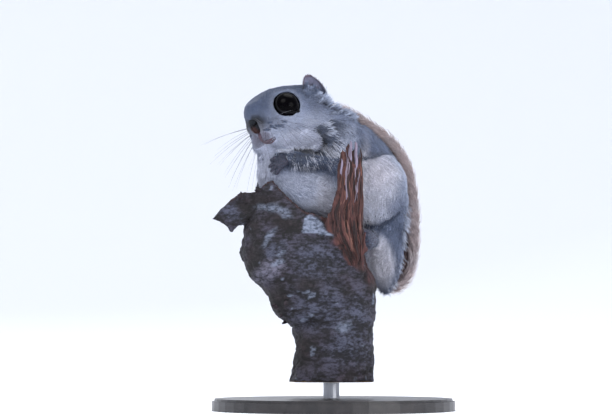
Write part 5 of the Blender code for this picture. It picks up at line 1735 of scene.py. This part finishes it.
def makePerch():
    # the CAD stub, remeshed fine, then moved along its normals by layered noise:
    # wide flat waves where there is bark, and long upright ridges where the wood is torn
    piece = remeshed("perchBark", ["perch_branch"], perch["voxel"])
    mesh = piece.data
    edges = meshEdges(mesh)
    points = faired(meshPoints(mesh), edges, 2)
    movePoints(mesh, points)
    normals = faired(meshNormals(mesh), edges, 2)
    seen = seenAt(points + 1.2 * noiseVectors(points, 3.0, (97, 98, 99)))
    facing = ramp(-points[:, 1], 2, 8)
    overTop = points[:, 2] - np.interp(points[:, 0], *perch["top"]) + 0.16 * (points[:, 1] + 25.0)
    top = ramp(overTop, -4.5, -1.5) * ramp(normals[:, 2], 0.1, 0.5)
    strip = ramp(seen[:, 0] - np.interp(seen[:, 1], *perch["woodEdge"]), -0.8, 0.8)
    strip = strip * (1 - ramp(seen[:, 0], 14.5, 16.0)) * ramp(-points[:, 1], 20, 23) * ramp(seen[:, 1], 68, 74)
    spike = ramp(points[:, 2], 96, 100) * ramp(points[:, 0], -6, -3) * ramp(-points[:, 1], 24, 26)
    torn = np.maximum(strip, spike)
    broken = top * (1 - torn)
    cut = ramp(-points[:, 2], -14.8, -14.2) * ramp(-normals[:, 2], 0.5, 0.8)
    plates = layeredNoise(points, (13, 13, 6.0), 81, 4)
    cracks = 1 - ramp(np.abs(layeredNoise(points, (15, 15, 6.5), 86, 3)), 0.0, 0.12)
    ridges = 1 - np.abs(layeredNoise(points, (1.9, 1.9, 26.0), 91, 3)) * 1.6
    splits = 1 - ramp(np.abs(valueNoise(points, (3.4, 3.4, 40.0), 95)), 0.0, 0.16)
    bark = perch["plate"] * plates - perch["crack"] * cracks + 0.2 * valueNoise(points, 1.3, 89)
    wood = perch["ridge"] * ridges - perch["split"] * splits - 0.35
    patches = {kind: np.zeros(len(points)) for kind in patchKinds}
    for kind, *oval in perch["patches"]:
        patches[kind] = np.maximum(patches[kind], ovalShare(seen, *oval) * facing)
    patches["crust"] *= perch["patchCrust"]
    patches["crust"] = np.maximum(patches["crust"], cornersShare(seen, perch["triangle"]) * facing)
    crust = ramp(layeredNoise(points, (5, 5, 4), 101, 3), 0.75, 1.0)
    patches["crust"] = np.maximum(patches["crust"], crust * 0.7) * (1 - torn)
    split = np.maximum(torn, broken)
    move = (bark * (1 - split) + wood * split + perch["crust"] * patches["crust"]) * (1 - cut)
    for x, z, halfWidth, halfHeight, tilt, amount, softness in perch["bulges"]:
        move = move + amount * ovalShare(seen, x, z, halfWidth, halfHeight, tilt, softness) * (1 - torn)
    movePoints(mesh, points + normals * move[:, None])
    shares = {kind: values * (1 - cut) for kind, values in patches.items()}
    shares |= {"torn": torn, "broken": broken, "cut": cut}
    # the cracks in the bark and splits in the wood, which take painted shade
    shares["crack"] = np.clip(blended(cracks, splits, torn), 0, 1)
    for name, values in shares.items():
        setValues(mesh, name, values)
    mesh.shade_smooth()
    return finishPiece(piece, barkMaterial(), "bark", "perch_branch")


def barkMaterial():
    # dark plum bark with slate scales, grey crust, red-brown torn wood and a pale sawn end, with painted shade in
    # the cracks
    paint = Paint("barkAndWood")
    scales = paint.noise(110.0, 6.0, 0.62, paint.stretched(1.0, 1.0, 1.7))
    fine = paint.noise(1500.0, 5.0, 0.65)
    clouds = paint.noise(55.0, 4.0, 0.6)
    noises = {
        "mottle": paint.noise(420.0, 5.0, 0.7, paint.stretched(1.0, 1.0, 1.9)),
        "grain": paint.noise(620.0, 5.0, 0.6, paint.stretched(1.0, 1.0, 0.06)),
        "rings": paint.noise(1000.0, 2.0, 0.5, paint.stretched(0.35, 0.35, 0.02)),
    }
    noises["tone"] = scales * 0.45 + noises["mottle"] * 0.55
    looks = {
        kind: paint.shades(noises[source].within(low, high), dark, pale)
        for kind, (source, low, high, dark, pale) in barkLooks.items()
    }
    colour = paint.mix(clouds.within(0.5, 0.68) * 0.7, looks["bark"], looks["brown"])
    for kind, strength in (("slate", 0.75), ("mauve", 0.9), ("umber", 0.85), ("rust", 0.9)):
        colour = paint.mix(paint.value(kind) * strength, colour, looks[kind])
    colour = paint.mix(fine.within(0.5, 0.75) * 0.5, colour, linear(20, 15, 20))
    for name, kind in (("crust", "crust"), ("broken", "rim"), ("torn", "wood")):
        colour = paint.mix(paint.value(name), colour, looks[kind])
    # painted shade: cracks and splits darkened
    colour = paint.mix(paint.value("crack") * 0.7, colour, linear(16, 10, 13))
    colour = paint.mix(paint.value("cut"), colour, looks["sawn"])
    height = scales * 0.6 + fine * 0.5 + noises["grain"] * 0.3
    return paint.finish(colour, 0.8 + fine * 0.18, height, 0.0006, 0.7)


def frontHits(tree, places, levels):
    # where the front of the stub is at each place across and up, or None
    return [castFrom(tree, (x, -80.0, z), (0.0, 1.0, 0.0))[0] for x, z in zip(places, levels)]


def makeFibre(tree, scatter):
    # a thin flat tube that lies on the red wood, with its colour
    beside = scatter.random()
    bottom = scatter.uniform(70, 112)
    length = min(scatter.uniform(4, 24), scatter.uniform(122, 129.5) - bottom)
    at = np.linspace(0, 1, 15)
    level = bottom + length * at
    left, right = (np.interp(level, splinters["levels"], splinters[edge]) for edge in ("lefts", "rights"))
    x = left * (1 - beside) + right * beside
    x = x + scatter.normal(0, 0.5) * at**2 + 0.2 * np.sin(level * scatter.uniform(0.3, 0.8))
    depth = depthsOf(frontHits(tree, x, level))
    near = depth < np.nanmin(depth) + 4.0
    depth = np.interp(at, at[near], depth[near])
    depth = np.convolve(np.pad(depth, 2, "edge"), np.full(5, 0.2), "valid") - scatter.uniform(0.0, 0.5)
    thinning = np.clip(4 * (at + 0.06) * (1.06 - at), 0, 1)
    radii = scatter.uniform(0.16, 0.62) * thinning ** scatter.uniform(0.5, 1.1)
    shell = pathTube(np.stack([x, depth, level], 1), radii, 6, (0.4 * scatter.normal(), 1.0, 0.0), 0.42)
    if bottom > splinters["paleAbove"] and any(low < beside < high for low, high in splinters["paleBands"]):
        colour = splinters["pale"]
    else:
        colour = splinters["reds"][scatter.choice(3, p=splinters["redShares"])]
    return shell, linear(*colour) * scatter.uniform(0.8, 1.2)


def makeStrip(tree, x, bottom, top, half):
    # a pale strip that stands high on the splinter
    level = np.linspace(bottom, top, len(splinters["stripWidths"]))
    depth = np.nanmin(depthsOf(frontHits(tree, np.full(len(level), x), level)))
    bow = x + 0.25 * np.sin(level * 0.7)
    radii = half * np.array(splinters["stripWidths"])
    line = np.stack([bow, np.full(len(level), depth + 0.1), level], 1)
    return pathTube(line, radii, 8, (0.0, 1.0, 0.0), 0.6), linear(*splinters["strip"])


def makeShard(tree, scatter, low):
    # a loose shard of bark, or None where there is no bark to stand on
    place = [scatter.uniform(*span) for span in splinters["shardsLow" if low else "shardsHigh"]]
    start = frontHits(tree, place[:1], place[1:])[0]
    if start is None:
        return None
    way = unit(np.array([-1.0, scatter.normal(0, 0.25) - 0.2, scatter.normal(-0.5, 0.5)]))
    at = np.linspace(0, 1, 9)[:, None]
    reach = scatter.uniform(1.8, 4.0)
    line = start + way * reach * (at - 0.3) + np.array([0, -1.2, 0.6]) * at**2 * scatter.uniform(0.3, 1.5)
    radii = scatter.uniform(0.7, 1.5) * (1 - 0.75 * at[:, 0] ** 2)
    return pathTube(line, radii, 8, (0, 1, 0.3), 0.3), linear(*splinters["shard"]) * scatter.uniform(0.5, 1.3)


def makeFibres(perchPiece):
    # fibres over the red wood, pale strips and loose shards of bark, each a squeezed tube thinned at its ends
    tree = treeOf(perchPiece.data)
    scatter = np.random.default_rng(perch["seed"])
    made = [makeFibre(tree, scatter) for _ in range(perch["fibres"])]
    made += [makeStrip(tree, *strip) for strip in perch["strips"]]
    for number in range(perch["shards"]):
        made.append(makeShard(tree, scatter, number < perch["shards"] * splinters["shareLow"]))
    shells, colours = zip(*(pair for pair in made if pair))
    piece = meshObject("perchSplinters", *joinShells(shells))
    setColours(piece.data, "woodColour", np.repeat(colours, [len(points) for points, _ in shells], axis=0))
    paint = Paint("splinteredWood")
    grain = paint.noise(900.0, 5.0, 0.6, paint.stretched(1.0, 1.0, 0.12))
    shade = paint.shades(grain.within(0.3, 0.7), (140, 132, 136), (255, 250, 250))
    colour = paint.mix(1.0, paint.attribute("woodColour"), shade, "MULTIPLY")
    finishPiece(piece, paint.finish(colour, 0.72 + grain * 0.2, grain, 0.0004, 0.6), "bark")


print("stage: perch")
makeFibres(makePerch())


# Stand

def makeStandFinish():
    # black lacquer with a faint grain on the base, brushed steel on the rod
    base = Paint("standLacquer")
    grain = base.noise(260.0, 6.0, 0.6, base.stretched(1.0, 0.12, 1.0))
    fleck = base.noise(2600.0, 2.0)
    colour = base.shades(grain.within(0.3, 0.7), (22, 20, 21), (40, 36, 36))
    paintWith(nodes["stand_base"], base.finish(colour, 0.32 + fleck * 0.12, grain, 0.00008, 0.3))
    rod = Paint("rodSteel")
    brushed = rod.noise(900.0, 3.0, 0.5, rod.stretched(1.0, 1.0, 0.05))
    colour = rod.shades(brushed, (120, 122, 126), (170, 172, 178))
    paintWith(nodes["stand_rod"], rod.finish(colour, 0.28 + brushed * 0.15, Metallic=1.0))


print("stage: stand, light and camera")
makeStandFinish()


# Floor, light and camera
studio = {
    "flatRadius": 900.0,
    "curve": 900.0,
    "paper": (240, 242, 247),
    "sky": (0.86, 0.9, 1.0),
    "skyStrength": 0.88,
    "lampsAim": (0, 0, 100),
    # lamps: name, place, size and power
    "lamps": (
        ("keyLight", (-350, -750, 800), 600, 6.0),
        ("topLight", (150, 100, 1000), 700, 5.5),
        ("fillLight", (650, -650, 260), 600, 4.2),
        ("backLight", (-300, 800, 700), 500, 5.0),
    ),
}


def makeFloor():
    # a disc that turns up into a bowl: height = curve * (1 - cos a) where it leaves the flat
    lean = np.linspace(0, np.radians(80), 24)
    outer = studio["flatRadius"] + studio["curve"] * np.sin(lean[1:])
    radius = np.concatenate([np.linspace(40, studio["flatRadius"], 12), outer])
    height = np.concatenate([np.zeros(12), studio["curve"] * (1 - np.cos(lean[1:]))])
    turns = 2 * np.pi * np.arange(96) / 96
    flat = radius[:, None, None] * np.stack([np.cos(turns), np.sin(turns)], 1)
    loops = np.concatenate([flat, np.broadcast_to(height[:, None, None], (*flat.shape[:2], 1))], 2)
    rows, columns = loops.shape[:2]
    here, beside = ringSteps(rows - 1, columns)
    quads = np.stack([here, here + columns, beside + columns, beside], 1)
    step, after = ringSteps(1, columns)
    middle = np.stack([step, after, np.full(columns, rows * columns)], 1)
    floor = meshObject("floor", np.concatenate([loops.reshape(-1, 3), [[0, 0, 0]]]), quads, middle)
    paint = Paint("floorPaper")
    paintWith(floor, paint.finish(linear(*studio["paper"]), 0.9, paint.noise(300.0), 0.0002, 0.1))


def makeLights():
    # a pale sky and four disc lamps that face the animal
    world = bpy.data.worlds.new("softSky")
    bpy.context.scene.world = world
    world.use_nodes = True
    sky = world.node_tree.nodes["Background"]
    sky.inputs["Color"].default_value = (*studio["sky"], 1.0)
    sky.inputs["Strength"].default_value = studio["skyStrength"]
    for name, place, size, power in studio["lamps"]:
        light = bpy.data.lights.new(name, "AREA")
        light.shape = "DISK"
        light.size = size * millimetre
        light.energy = power
        lamp = placed(name, light)
        lamp.location = Vector(place) * millimetre
        aim = Vector(studio["lampsAim"]) * millimetre - lamp.location
        lamp.rotation_euler = aim.to_track_quat("-Z", "Y").to_euler()


def makeCamera():
    # focal length: sensor width times distance over the width of the view
    lens = bpy.data.cameras.new("camera")
    lens.lens = lens.sensor_width * view["distance"] / view["width"]
    lens.clip_start = 0.01
    camera = placed("camera", lens)
    camera.location = Vector(viewPlace) * millimetre
    camera.rotation_euler = (-Vector(viewBack)).to_track_quat("-Z", "Y").to_euler()
    bpy.context.scene.camera = camera


makeFloor()
makeLights()
makeCamera()
bpy.context.scene.view_settings.view_transform = "Standard"
